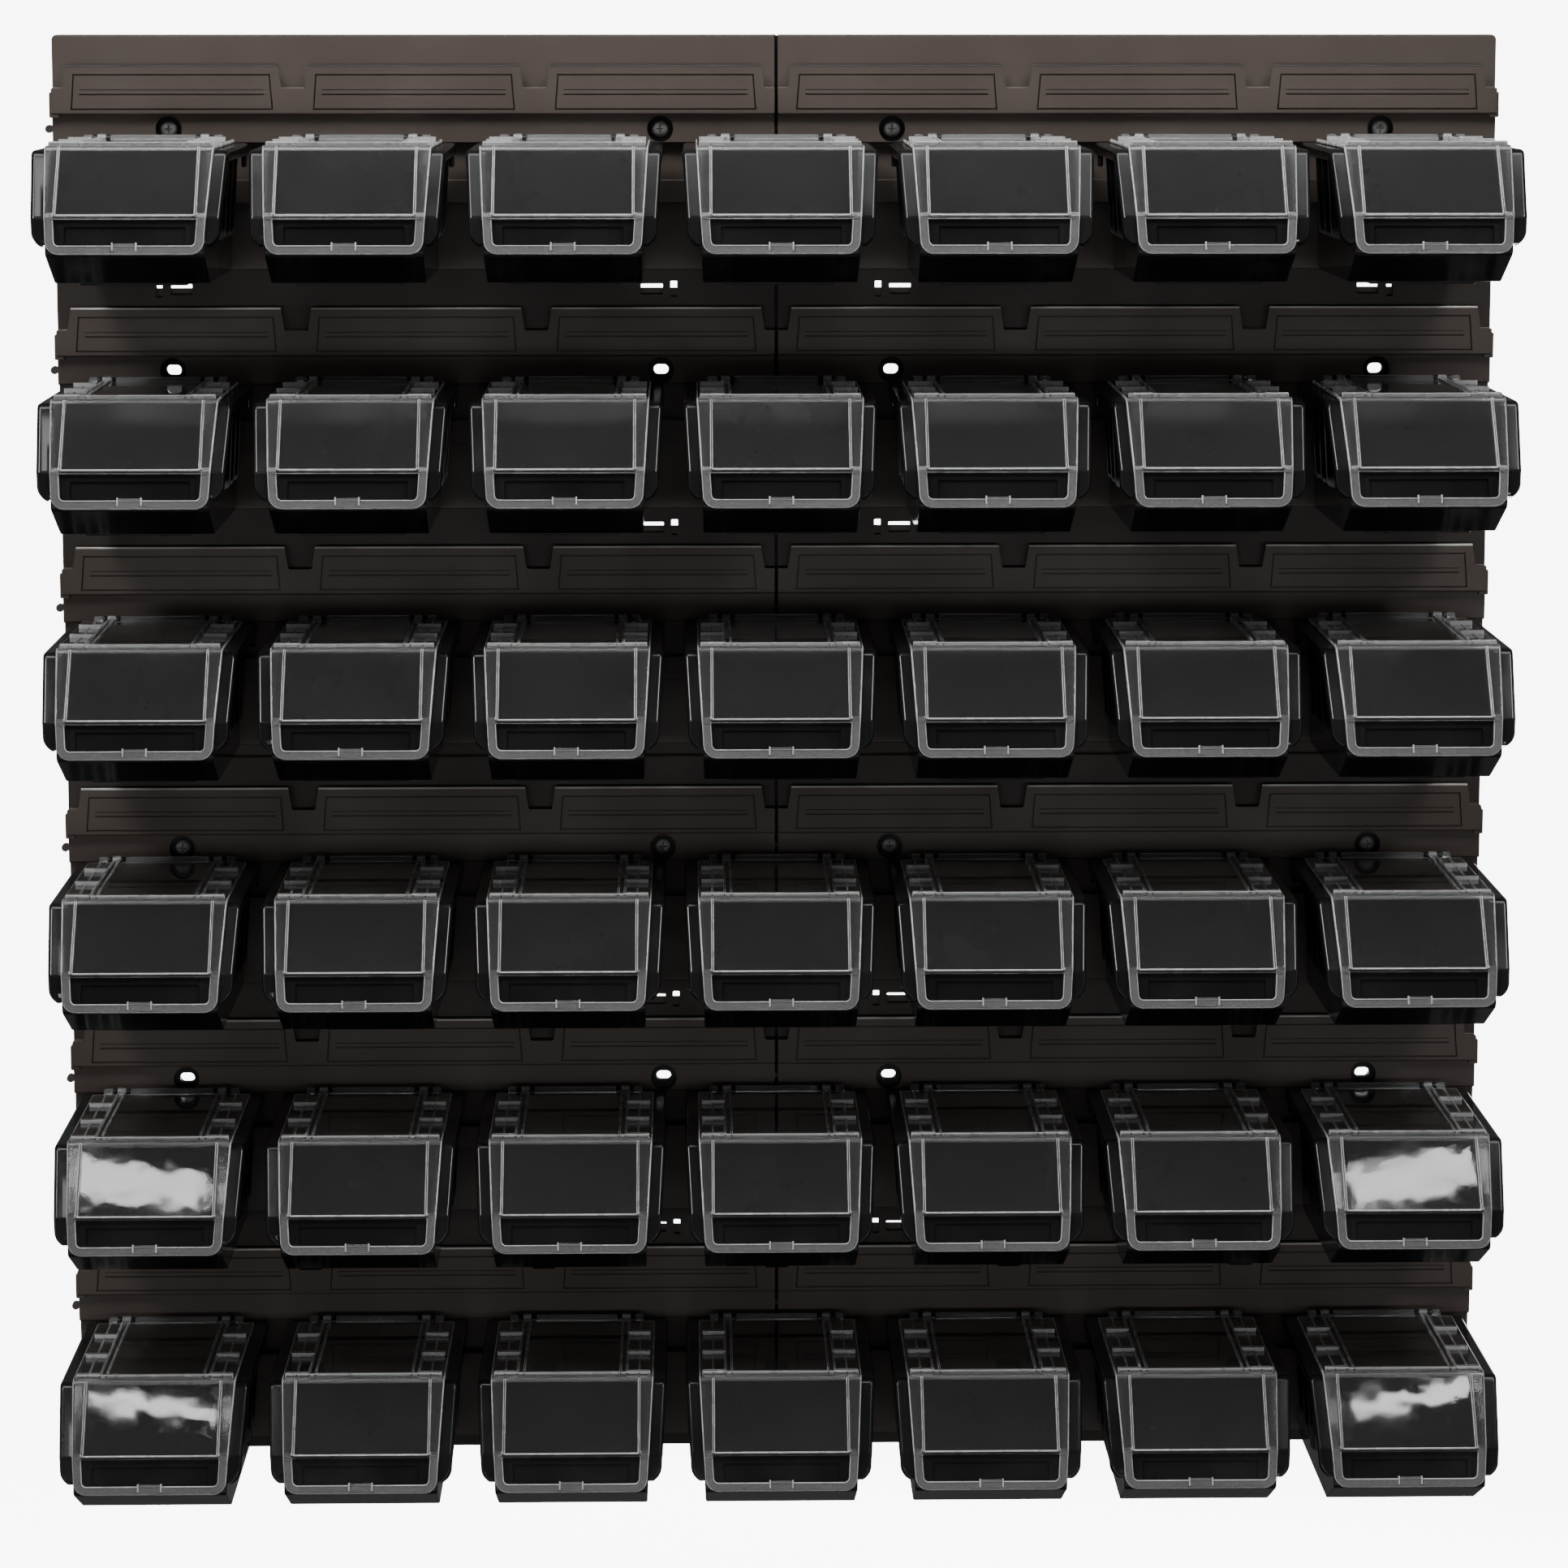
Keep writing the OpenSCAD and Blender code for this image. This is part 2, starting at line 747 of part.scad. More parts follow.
module socket_blocks() {
    half_h = lug_r + lug_play + skin_t;
    for (q = [0 : PANEL_ROWS - 1])
        block(
            [body_w / 2 - lug_reach - lug_play - skin_t, 0, -line_drop(q) - half_h],
            [body_w / 2 - bite, band_d - bite, -line_drop(q) + half_h]
        );
}

module lugs() {
    for (q = [0 : PANEL_ROWS - 1])
        translate([-body_w / 2, 0, -line_drop(q)])
            slab(0, lug_deep) lug_outline(0);
}

module panel() {
    difference() {
        union() {
            intersection() {
                union() {
                    panel_skin();
                    panel_walls();
                    fixing_bosses();
                    socket_blocks();
                }
                translate([0, 0, panel_low / 2])
                    slab(-over, deep) rounded(body_w, -panel_low, panel_r);
            }
            lugs();
        }
        lip_notches();
        fixing_slots();
        vents();
        lug_sockets();
    }
}

// Panel by column and row of the two by two group, counted from the upper left
module panel_at(i, j) {
    color("#47423f")
        translate([(i - 0.5) * panel_w, 0, panel_h * (1 - j) - panel_gap / 2])
            panel();
}

// Wall screw: head on the seat, shank through the slot, threaded end in the wall
point_r = 0.2;

module wall_screw() {
    flat_h = head_h / 2;
    translate([0, -seat_floor, 0])
        rotate([90, 0, 0])
            difference() {
                union() {
                    cylinder(h = flat_h, r = head_r);
                    translate([0, 0, flat_h])
                        cylinder(h = head_h - flat_h, r1 = head_r, r2 = head_r - flat_h);
                    translate([0, 0, -seat_floor - over])
                        cylinder(h = seat_floor + over + bite / 2, r = shank_r);
                    translate([0, 0, -seat_floor - over - thread_l])
                        cylinder(h = thread_l, r = thread_r);
                    translate([0, 0, -seat_floor - over - thread_l - point_l])
                        cylinder(h = point_l, r1 = point_r, r2 = thread_r);
                }
                for (turn = [0, 90])
                    rotate([0, 0, turn])
                        translate([-drive_w / 2, -drive_t / 2, head_h - drive_cut])
                            cube([drive_w, drive_t, head_h]);
            }
}

module wall_screws() {
    color("silver")
        for (j = [0 : PANELS_UP - 1], i = [-1, 1], s = SIDES)
            translate([i * panel_w / 2 + s * slot_x, 0, row_z(1 + j * PANEL_ROWS + SCREW_ROW) - panel_gap / 2])
                wall_screw();
}

module bin_row(row) {
    for (column = [1 : COLUMNS])
        translate([column_x(column), 0, row_z(row) - panel_gap / 2])
            bin();
}

module lid_at(row, column) {
    translate([column_x(column), 0, row_z(row) - panel_gap / 2])
        lid();
}

panel_at(0, 0);  // panel_upper_left
panel_at(1, 0);  // panel_upper_right
panel_at(0, 1);  // panel_lower_left
panel_at(1, 1);  // panel_lower_right
wall_screws();
for (row = [1 : ROWS])
    bin_row(row);
for (row = [1 : ROWS], column = [1 : COLUMNS])
    lid_at(row, column);
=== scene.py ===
"""Looks of the wall-mounted bin rack: ribbed panels, hook-on bins, clear hinged lids and wall screws.

Shapes are drawn in millimetres as x, distance d from the wall and height z, and become metres at the end.
Heights of bins and lids count from their row's screw line, heights of a panel from its top edge.
"""

import json
import math

import bmesh
import bpy
from mathutils import Matrix, Vector


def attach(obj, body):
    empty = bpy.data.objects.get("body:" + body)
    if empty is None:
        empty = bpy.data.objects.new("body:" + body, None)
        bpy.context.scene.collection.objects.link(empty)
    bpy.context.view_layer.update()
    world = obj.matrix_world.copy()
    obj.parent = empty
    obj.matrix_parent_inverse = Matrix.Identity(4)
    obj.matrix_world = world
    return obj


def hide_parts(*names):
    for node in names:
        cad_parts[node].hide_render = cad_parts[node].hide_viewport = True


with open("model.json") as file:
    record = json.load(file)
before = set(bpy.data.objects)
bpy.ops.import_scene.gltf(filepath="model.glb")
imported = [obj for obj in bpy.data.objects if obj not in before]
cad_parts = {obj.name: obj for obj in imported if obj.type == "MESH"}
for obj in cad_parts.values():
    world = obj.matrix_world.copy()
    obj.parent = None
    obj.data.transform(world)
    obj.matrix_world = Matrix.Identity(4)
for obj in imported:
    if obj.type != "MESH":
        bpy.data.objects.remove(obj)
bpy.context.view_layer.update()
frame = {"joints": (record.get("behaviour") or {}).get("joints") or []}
MM = 0.001
SIDES = (-1, 1)

# Layout, read from the frame
hinges = {j["child"]: Vector(j["pos_m"]) / MM for j in frame["joints"] if j["type"] == "hinge"}
COLUMNS = len([name for name in hinges if name.startswith("lid_r1_")])
ROWS = len(hinges) // COLUMNS
AXIS_D = -hinges["lid_r1_c1"].y
AXIS_Z = -5.2
row_lines = [hinges[f"lid_r{r}_c1"].z - AXIS_Z for r in range(1, ROWS + 1)]
column_xs = [hinges[f"lid_r1_c{c}"].x for c in range(1, COLUMNS + 1)]
BIN_PITCH = column_xs[1] - column_xs[0]
PANEL_W = COLUMNS * BIN_PITCH / 2
PANEL_ROWS = ROWS // 2
ROW_PITCH = row_lines[0] - row_lines[1]
PANEL_H = row_lines[0] - row_lines[PANEL_ROWS]

# Side line that the lid's outer face follows
TOP_Z = -5.0
REAR_D = 13.6
RIDGE = Vector((126.0, TOP_Z))
WINDOW_LOW = Vector((150.6, -39.5))
FOOT = Vector((156.1, -58.4))
FRONT_WAY = (FOOT - WINDOW_LOW).normalized()
FRONT_L = (FOOT - WINDOW_LOW).length

# Lid
LID_T = 2.0
LID_HALF = 43.0
EDGE_LEAN = math.tan(math.radians(3.5))
FRAME_BAR = 4.6
HINGE_X = 27.3
KNUCKLE_R = 3.2
KNUCKLE_W = 4.6
ROD_R = 1.5

# Bin
BIN_HALF = 50.0
BIN_WALL = 1.8
RIM_DEPTH = 2.3
RIM_T = 2.2
SKIRT_H = 6.0
SKIRT_T = 1.8
FLOOR_Z = -75.0
FLOOR_HALF = 39.7
FLOOR_FRONT = 123.0
WALL_LEAN = math.tan(math.radians(1.5))
EAR_LOW_Z = -54.0
EAR_R = 8.0

# Panel
SKIN = 2.5
RECESS_D = 4.0
BASE_D = 6.0
LOWER_D = 6.8
BAND_D = 9.0
STRIP_D = 12.5
HALF_BAND = 7.7
STRIP_TOP = 34.0
LIP_FREE = 12.4
RAIL_Z = -27.0
TROUGH_Z = -37.0
RAIL_LOW_Z = -39.5
TROUGH_D = 7.0
RAIL_D = 9.2
LEDGE_LAP = 0.8
LEDGE_Z = -75.0
FIRST_DROP = 50.0
PANEL_GAP = 0.4
SLOT_INSET = 62.0
BODY_W = PANEL_W - PANEL_GAP
PANEL_LOW = -PANEL_H + PANEL_GAP


# Outlines


def left_of(way):
    return Vector((-way.y, way.x))


ARC_ROOM = 0.48
STRAIGHT = math.radians(178)


def corner_arc(before, corner, after, radius, steps):
    """Points of the arc that replaces a corner; short sides take a smaller arc."""
    to_before, to_after = before - corner, after - corner
    room = ARC_ROOM * min(to_before.length, to_after.length)
    u, v = to_before.normalized(), to_after.normalized()
    opening = math.acos(max(-1.0, min(1.0, u.dot(v))))
    if radius <= 0:
        return [corner]
    if opening > STRAIGHT:
        return [corner] * (steps + 1)
    reach = min(radius / math.tan(opening / 2), room)
    r = reach * math.tan(opening / 2)
    centre = corner + (u + v).normalized() * r / math.sin(opening / 2)
    start, end = corner + u * reach - centre, corner + v * reach - centre
    turn = math.pi - opening

    def spot(k):
        start_share, end_share = math.sin(turn * (1 - k / steps)), math.sin(turn * k / steps)
        return centre + (start * start_share + end * end_share) / math.sin(turn)

    return [spot(k) for k in range(steps + 1)]


def rounded(points, radius, steps=4):
    """A closed outline with arcs for corners; radius is one size or one for each corner."""
    spots = [Vector(p) for p in points]
    radii = radius if isinstance(radius, (list, tuple)) else [radius] * len(spots)
    return [
        p
        for i, spot in enumerate(spots)
        for p in corner_arc(spots[i - 1], spot, spots[(i + 1) % len(spots)], radii[i], steps)
    ]


def rounded_path(points, radius, steps=8):
    """An open line with arcs for its inner corners."""
    spots = [Vector(p) for p in points]
    bends = [
        p
        for before, spot, after in zip(spots, spots[1:], spots[2:])
        for p in corner_arc(before, spot, after, radius, steps)
    ]
    return [spots[0], *bends, spots[-1]]


def offset(path, t):
    """An open line moved t to its right, with mitred corners."""
    ways = [(b - a).normalized() for a, b in zip(path, path[1:])]
    out = []
    for i, p in enumerate(path):
        before, after = ways[max(i - 1, 0)], ways[min(i, len(ways) - 1)]
        a, b = -left_of(before), -left_of(after)
        out.append(p + t * (a + b) / (1 + a.dot(b)))
    return out


def stations(path):
    """Each point of a line with the direction to its left."""
    last = len(path) - 1
    return [
        (p, left_of((path[min(i + 1, last)] - path[max(i - 1, 0)]).normalized()))
        for i, p in enumerate(path)
    ]


def rectangle(low, high):
    return [(low[0], low[1]), (high[0], low[1]), (high[0], high[1]), (low[0], high[1])]


def disc(centre, r, steps=32):
    turns = [2 * math.pi * k / steps for k in range(steps)]
    return [Vector((centre[0] + r * math.cos(a), centre[1] + r * math.sin(a))) for a in turns]


# Solids

WELD = 1e-4
# How far a cut runs past the solid, and how far joined solids reach into each other
OVER = 1
FAR_OVER = 5
LAP = 1


def skin(rings):
    """A closed solid over rings of (x, d, z) points."""
    made = bmesh.new()
    rows = [[made.verts.new((x, -d, z)) for x, d, z in ring] for ring in rings]
    for near, far in zip(rows, rows[1:]):
        for i in range(len(near)):
            made.faces.new((near[i - 1], near[i], far[i], far[i - 1]))
    made.faces.new(rows[0])
    made.faces.new(rows[-1])
    bmesh.ops.remove_doubles(made, verts=made.verts, dist=WELD)
    bmesh.ops.recalc_face_normals(made, faces=made.faces)
    return made


def across(outline, x_low, x_high):
    """A side outline of (d, z) points drawn out along x."""
    return skin([[(x, d, z) for d, z in outline] for x in (x_low, x_high)])


def outward(outline, d_low, d_high):
    """A front outline of (x, z) points drawn out from the wall."""
    return skin([[(x, d, z) for x, z in outline] for d in (d_low, d_high)])


def tapered(outline, half_at):
    """A side outline drawn out to both sides as far as half_at gives for each height."""
    return skin([[(s * half_at(z), d, z) for d, z in outline] for s in SIDES])


def block(low, high):
    return outward(rectangle((low[0], low[2]), (high[0], high[2])), low[1], high[1])


SHARP_EDGE = math.radians(30)


def softened(made, width, steps=2):
    """The same solid with its sharp outer edges rounded."""
    edges = [e for e in made.edges if e.is_convex and e.calc_face_angle(0) > SHARP_EDGE]
    bmesh.ops.bevel(
        made, geom=edges, offset=width, segments=steps, profile=0.5, affect="EDGES", clamp_overlap=True
    )
    return made


def as_object(name, made, materials=()):
    """An object in millimetres from a bmesh."""
    mesh = bpy.data.meshes.new(name)
    made.to_mesh(mesh)
    made.free()
    for finish in materials:
        mesh.materials.append(finish)
    thing = bpy.data.objects.new(name, mesh)
    bpy.context.scene.collection.objects.link(thing)
    return thing


def drop(*things):
    for thing in things:
        bpy.data.objects.remove(thing)


def plain_mesh(thing):
    """What an object with modifiers amounts to, as a mesh of its own."""
    bpy.context.view_layer.update()
    seen = thing.evaluated_get(bpy.context.evaluated_depsgraph_get())
    return bpy.data.meshes.new_from_object(seen)


def dressed(thing, finishes):
    """The same object with these finishes as its slots; each face keeps its own."""
    mesh = thing.data
    slots = [finishes.index(m) if m in finishes else 0 for m in mesh.materials]
    picks = [slots[p.material_index] if slots else p.material_index for p in mesh.polygons]
    mesh.materials.clear()
    for finish in finishes:
        mesh.materials.append(finish)
    mesh.polygons.foreach_set("material_index", picks)
    return thing


def combined(name, solids, cuts=(), keep=None, materials=()):
    """One closed object: the solids joined, held inside keep, less the cuts. Faces keep their finish."""

    def part(solid):
        if isinstance(solid, bmesh.types.BMesh):
            return as_object(f"{name}_part", solid, materials)
        return dressed(solid, materials) if materials else solid

    base = part(solids[0])
    steps = [(part(s), "UNION") for s in solids[1:]]
    steps += [(part(keep), "INTERSECT")] if keep else []
    steps += [(part(c), "DIFFERENCE") for c in cuts]
    for other, operation in steps:
        step = base.modifiers.new(operation.lower(), "BOOLEAN")
        step.operation = operation
        step.object = other
        step.solver = "MANIFOLD"
    made = bpy.data.objects.new(name, plain_mesh(base))
    bpy.context.scene.collection.objects.link(made)
    drop(base, *(other for other, _ in steps))
    return made


# Geometry Nodes that repeat a piece


def spread_tree():
    """Repeats a piece along a line of even steps."""
    tree = bpy.data.node_groups.new("spread_along_a_line", "GeometryNodeTree")
    tree.interface.new_socket("Geometry", in_out="OUTPUT", socket_type="NodeSocketGeometry")
    for name, kind in (
        ("Piece", "NodeSocketObject"),
        ("Count", "NodeSocketInt"),
        ("Start", "NodeSocketVector"),
        ("Step", "NodeSocketVector"),
        ("Material", "NodeSocketMaterial"),
    ):
        tree.interface.new_socket(name, in_out="INPUT", socket_type=kind)
    nodes, links = tree.nodes, tree.links
    given = nodes.new("NodeGroupInput")
    line = nodes.new("GeometryNodeMeshLine")
    piece = nodes.new("GeometryNodeObjectInfo")
    piece.inputs["As Instance"].default_value = True
    place = nodes.new("GeometryNodeInstanceOnPoints")
    whole = nodes.new("GeometryNodeRealizeInstances")
    finish = nodes.new("GeometryNodeSetMaterial")
    result = nodes.new("NodeGroupOutput")
    links.new(given.outputs["Count"], line.inputs["Count"])
    links.new(given.outputs["Start"], line.inputs["Start Location"])
    links.new(given.outputs["Step"], line.inputs["Offset"])
    links.new(given.outputs["Piece"], piece.inputs["Object"])
    links.new(line.outputs["Mesh"], place.inputs["Points"])
    links.new(piece.outputs["Geometry"], place.inputs["Instance"])
    links.new(place.outputs["Instances"], whole.inputs["Geometry"])
    links.new(whole.outputs["Geometry"], finish.inputs["Geometry"])
    links.new(given.outputs["Material"], finish.inputs["Material"])
    links.new(finish.outputs["Geometry"], result.inputs["Geometry"])
    return tree


SPREAD = spread_tree()


def spread(name, piece, count, start, step, finish=None, keep_piece=False):
    """A piece repeated along a line, as one plain object; start and step are (x, d, z)."""
    holder = as_object(name, bmesh.new())
    nodes = holder.modifiers.new("spread", "NODES")
    nodes.node_group = SPREAD
    values = {
        "Piece": piece,
        "Count": count,
        "Start": Vector((start[0], -start[1], start[2])),
        "Step": Vector((step[0], -step[1], step[2])),
        "Material": finish,
    }
    for socket in SPREAD.interface.items_tree:
        if socket.in_out == "INPUT":
            nodes[socket.identifier] = values[socket.name]
    mesh = plain_mesh(holder)
    drop(holder)
    if not keep_piece:
        drop(piece)
    made = bpy.data.objects.new(name, mesh)
    bpy.context.scene.collection.objects.link(made)
    return made


# Shader groups and materials


def group(name, inputs, outputs):
    """An empty shader group with named sockets; inputs are (name, kind, start value)."""
    tree = bpy.data.node_groups.new(name, "ShaderNodeTree")
    for label, kind, value in inputs:
        tree.interface.new_socket(label, in_out="INPUT", socket_type=kind).default_value = value
    for label, kind in outputs:
        tree.interface.new_socket(label, in_out="OUTPUT", socket_type=kind)
    return tree, tree.nodes.new("NodeGroupInput"), tree.nodes.new("NodeGroupOutput")


DRIFT_SPAN = (0.35, 0.65)


def moulded_group():
    """Colour drift, gloss drift and fine grain of moulded plastic, on Object coordinates."""
    tree, given, result = group(
        "moulded_surface",
        (
            ("Tone", "NodeSocketColor", (0.1, 0.1, 0.1, 1)),
            ("Drift Tone", "NodeSocketColor", (0.1, 0.1, 0.1, 1)),
            ("Drifts per Metre", "NodeSocketFloat", 12.0),
            ("Grains per Metre", "NodeSocketFloat", 2500.0),
            ("Waves per Metre", "NodeSocketFloat", 30.0),
            ("Wave Share", "NodeSocketFloat", 0.0),
            ("Least Roughness", "NodeSocketFloat", 0.3),
            ("Most Roughness", "NodeSocketFloat", 0.5),
        ),
        (("Color", "NodeSocketColor"), ("Roughness", "NodeSocketFloat"), ("Height", "NodeSocketFloat")),
    )
    nodes, links = tree.nodes, tree.links
    where = nodes.new("ShaderNodeTexCoord")
    drift = nodes.new("ShaderNodeTexNoise")
    drift.inputs["Detail"].default_value = 4
    grain = nodes.new("ShaderNodeTexNoise")
    grain.inputs["Detail"].default_value = 2
    wave = nodes.new("ShaderNodeTexNoise")
    wave.inputs["Detail"].default_value = 1
    relief = nodes.new("ShaderNodeMath")
    relief.operation = "MULTIPLY_ADD"
    spread_out = nodes.new("ShaderNodeMapRange")
    spread_out.inputs["From Min"].default_value = DRIFT_SPAN[0]
    spread_out.inputs["From Max"].default_value = DRIFT_SPAN[1]
    tone = nodes.new("ShaderNodeMix")
    tone.data_type = "RGBA"
    gloss = nodes.new("ShaderNodeMapRange")
    for texture, rate in (
        (drift, "Drifts per Metre"),
        (grain, "Grains per Metre"),
        (wave, "Waves per Metre"),
    ):
        links.new(where.outputs["Object"], texture.inputs["Vector"])
        links.new(given.outputs[rate], texture.inputs["Scale"])
    links.new(drift.outputs["Fac"], spread_out.inputs["Value"])
    links.new(spread_out.outputs["Result"], tone.inputs["Factor"])
    links.new(given.outputs["Tone"], tone.inputs["A"])
    links.new(given.outputs["Drift Tone"], tone.inputs["B"])
    links.new(tone.outputs["Result"], result.inputs["Color"])
    links.new(spread_out.outputs["Result"], gloss.inputs["Value"])
    links.new(given.outputs["Least Roughness"], gloss.inputs["To Min"])
    links.new(given.outputs["Most Roughness"], gloss.inputs["To Max"])
    links.new(gloss.outputs["Result"], result.inputs["Roughness"])
    links.new(wave.outputs["Fac"], relief.inputs[0])
    links.new(given.outputs["Wave Share"], relief.inputs[1])
    links.new(grain.outputs["Fac"], relief.inputs[2])
    links.new(relief.outputs["Value"], result.inputs["Height"])
    return tree


MOULDED = moulded_group()


def plastic(name, tone, drift_tone, drifts, grains, roughness, bump, waves=(30, 0), **constants):
    """A moulded plastic finish; constants are plain values of the shader's own sockets."""
    made = bpy.data.materials.new(name)
    made.use_nodes = True
    nodes, links = made.node_tree.nodes, made.node_tree.links
    shader = nodes["Principled BSDF"]
    surface = nodes.new("ShaderNodeGroup")
    surface.node_tree = MOULDED
    surface.inputs["Tone"].default_value = (*tone, 1)
    surface.inputs["Drift Tone"].default_value = (*drift_tone, 1)
    surface.inputs["Drifts per Metre"].default_value = drifts
    surface.inputs["Grains per Metre"].default_value = grains
    surface.inputs["Waves per Metre"].default_value = waves[0]
    surface.inputs["Wave Share"].default_value = waves[1]
    surface.inputs["Least Roughness"].default_value = roughness[0]
    surface.inputs["Most Roughness"].default_value = roughness[1]
    relief = nodes.new("ShaderNodeBump")
    relief.inputs["Strength"].default_value = 1.0
    relief.inputs["Distance"].default_value = bump * MM
    links.new(surface.outputs["Color"], shader.inputs["Base Color"])
    links.new(surface.outputs["Roughness"], shader.inputs["Roughness"])
    links.new(surface.outputs["Height"], relief.inputs["Height"])
    links.new(relief.outputs["Normal"], shader.inputs["Normal"])
    for socket, value in constants.items():
        shader.inputs[socket.replace("_", " ")].default_value = value
    return made


LID_IOR = 1.5
panel_plastic = plastic(
    "panel_plastic",
    tone=(0.103, 0.081, 0.070),
    drift_tone=(0.084, 0.063, 0.052),
    drifts=14,
    grains=1600,
    roughness=(0.42, 0.55),
    bump=0.035,
)
# Painted highlight: a pale tone on the strips' rounded lip edges, standing in for light catching them
lip_painted_highlight = plastic(
    "lip_painted_highlight",
    tone=(0.85, 0.83, 0.80),
    drift_tone=(0.42, 0.41, 0.39),
    drifts=28,
    grains=1600,
    roughness=(0.30, 0.42),
    bump=0.02,
)
# Painted shade: a darker tone for the recessed floor between the strips and inside the engraved grooves,
# where shade falls
panel_painted_shade = plastic(
    "panel_painted_shade",
    tone=(0.044, 0.034, 0.029),
    drift_tone=(0.034, 0.026, 0.022),
    drifts=14,
    grains=1600,
    roughness=(0.48, 0.60),
    bump=0.035,
)
# Painted shade: near-black for the deep seats, the seams and the rack's top lip, where shadow falls
black_painted_shade = plastic(
    "black_painted_shade",
    tone=(0.010, 0.009, 0.0085),
    drift_tone=(0.007, 0.006, 0.006),
    drifts=60,
    grains=1600,
    roughness=(0.50, 0.62),
    bump=0.02,
)
bin_plastic = plastic(
    "bin_plastic",
    tone=(0.008, 0.008, 0.0083),
    drift_tone=(0.012, 0.012, 0.0124),
    drifts=30,
    grains=900,
    roughness=(0.12, 0.19),
    bump=0.004,
    Specular_IOR_Level=0.42,
)
lid_clear = plastic(
    "lid_clear",
    tone=(0.87, 0.87, 0.87),
    drift_tone=(0.77, 0.77, 0.77),
    drifts=40,
    grains=300,
    roughness=(0.012, 0.03),
    bump=0.002,
    waves=(55, 20),
    Transmission_Weight=0.98,
    IOR=LID_IOR,
)
lid_satin = plastic(
    "lid_satin",
    tone=(0.87, 0.87, 0.87),
    drift_tone=(0.79, 0.79, 0.79),
    drifts=50,
    grains=600,
    roughness=(0.04, 0.09),
    bump=0.002,
    Transmission_Weight=0.955,
    IOR=LID_IOR,
)
lid_haze = plastic(
    "lid_haze",
    tone=(0.87, 0.87, 0.87),
    drift_tone=(0.79, 0.79, 0.79),
    drifts=50,
    grains=600,
    roughness=(0.10, 0.18),
    bump=0.002,
    Transmission_Weight=0.87,
    IOR=LID_IOR,
)
lid_frost = plastic(
    "lid_frost",
    tone=(0.90, 0.90, 0.90),
    drift_tone=(0.82, 0.82, 0.82),
    drifts=60,
    grains=900,
    roughness=(0.22, 0.34),
    bump=0.004,
    Transmission_Weight=0.36,
    IOR=LID_IOR,
)
screw_zinc = plastic(
    "screw_zinc",
    tone=(0.44, 0.435, 0.42),
    drift_tone=(0.32, 0.315, 0.305),
    drifts=300,
    grains=2500,
    roughness=(0.60, 0.74),
    bump=0.01,
    Metallic=1.0,
)
LIP_HIGHLIGHT, FLOOR_SHADE, BLACK_SHADE = 1, 2, 3
PANEL_FINISHES = (panel_plastic, lip_painted_highlight, panel_painted_shade, black_painted_shade)
CLEAR, SATIN, HAZE, FROST = 0, 1, 2, 3
LID_FINISHES = (lid_clear, lid_satin, lid_haze, lid_frost)


# Lid


def round_axis(r, degrees):
    """Side points at these angles on a circle round the hinge's axis."""
    turns = [math.radians(a) for a in degrees]
    return [Vector((AXIS_D + r * math.cos(a), AXIS_Z + r * math.sin(a))) for a in turns]


def lid_half(z):
    return LID_HALF + (z - TOP_Z) * EDGE_LEAN


def with_finish(made, finish):
    for face in made.faces:
        face.material_index = finish
    return made


def frosted(made):
    return with_finish(made, FROST)


LID_PLATE_BACK = 22.4
RIDGE_R = 4.5
RIDGE_HAZE = 5.0
WINDOW_RIB_X = 35.5
PLATE_TAIL = 1.2
PLATE_RADII = [1.2, 0, 0, 1.2, 0.6, 0.6]
SIDEWAYS = 0.3
FACING = 0.95
WINDOW_FROM_Z = TOP_Z - 3


def lid_plate():
    """The clear sheet from the hinge over the ridge to the lower edge of the window."""
    tail = WINDOW_LOW + FRONT_WAY * PLATE_TAIL
    path = rounded_path([(LID_PLATE_BACK, TOP_Z), RIDGE, WINDOW_LOW, tail], RIDGE_R)
    rib = WINDOW_RIB_X
    rings = []
    for p, up in stations(path):
        half = lid_half(p.y)
        corners = [(-half, 0), (-rib, 0), (rib, 0), (half, 0), (half, -LID_T), (-half, -LID_T)]
        section = rounded(corners, PLATE_RADII)
        rings.append([(x, p.x + up.x * h, p.y + up.y * h) for x, h in section])
    made = skin(rings)
    for face in made.faces:
        spot = face.calc_center_median()
        edge = abs(face.normal.x) > SIDEWAYS or len(face.verts) > 4
        near_ridge = (Vector((-spot.y, spot.z)) - RIDGE).length < RIDGE_HAZE
        beside_window = abs(spot.x) > WINDOW_RIB_X and spot.z < WINDOW_FROM_Z
        face.material_index = FROST if edge else HAZE if near_ridge else SATIN if beside_window else CLEAR
    return made


def front_point(x, v, h):
    """A point on the lid's front: v down from the window's lower edge, h out of its face."""
    spot = WINDOW_LOW + FRONT_WAY * v + left_of(FRONT_WAY) * h
    return (x, spot.x, spot.y)


FRAME_TOP_V = -1.6
FRAME_R = 7.0
FRAME_ROUND = 0.7


def lid_frame():
    """The bar round the label opening, a U with round corners."""
    inset = FRAME_BAR / 2
    top_half = lid_half(WINDOW_LOW.y) - inset
    low_half = lid_half(FOOT.y) - inset
    low_v = FRONT_L - inset
    corners = [(-top_half, FRAME_TOP_V), (-low_half, low_v), (low_half, low_v), (top_half, FRAME_TOP_V)]
    path = rounded_path(corners, FRAME_R - inset)
    section = rounded([(-inset, 0), (inset, 0), (inset, -LID_T), (-inset, -LID_T)], FRAME_ROUND)
    made = skin([
        [front_point(p.x + side.x * u, p.y + side.y * u, h) for u, h in section]
        for p, side in stations(path)
    ])
    out = left_of(FRONT_WAY)
    for face in made.faces:
        flat = abs(face.normal.dot(Vector((0, -out.x, out.y)))) > FACING
        face.material_index = HAZE if flat else FROST
    return made


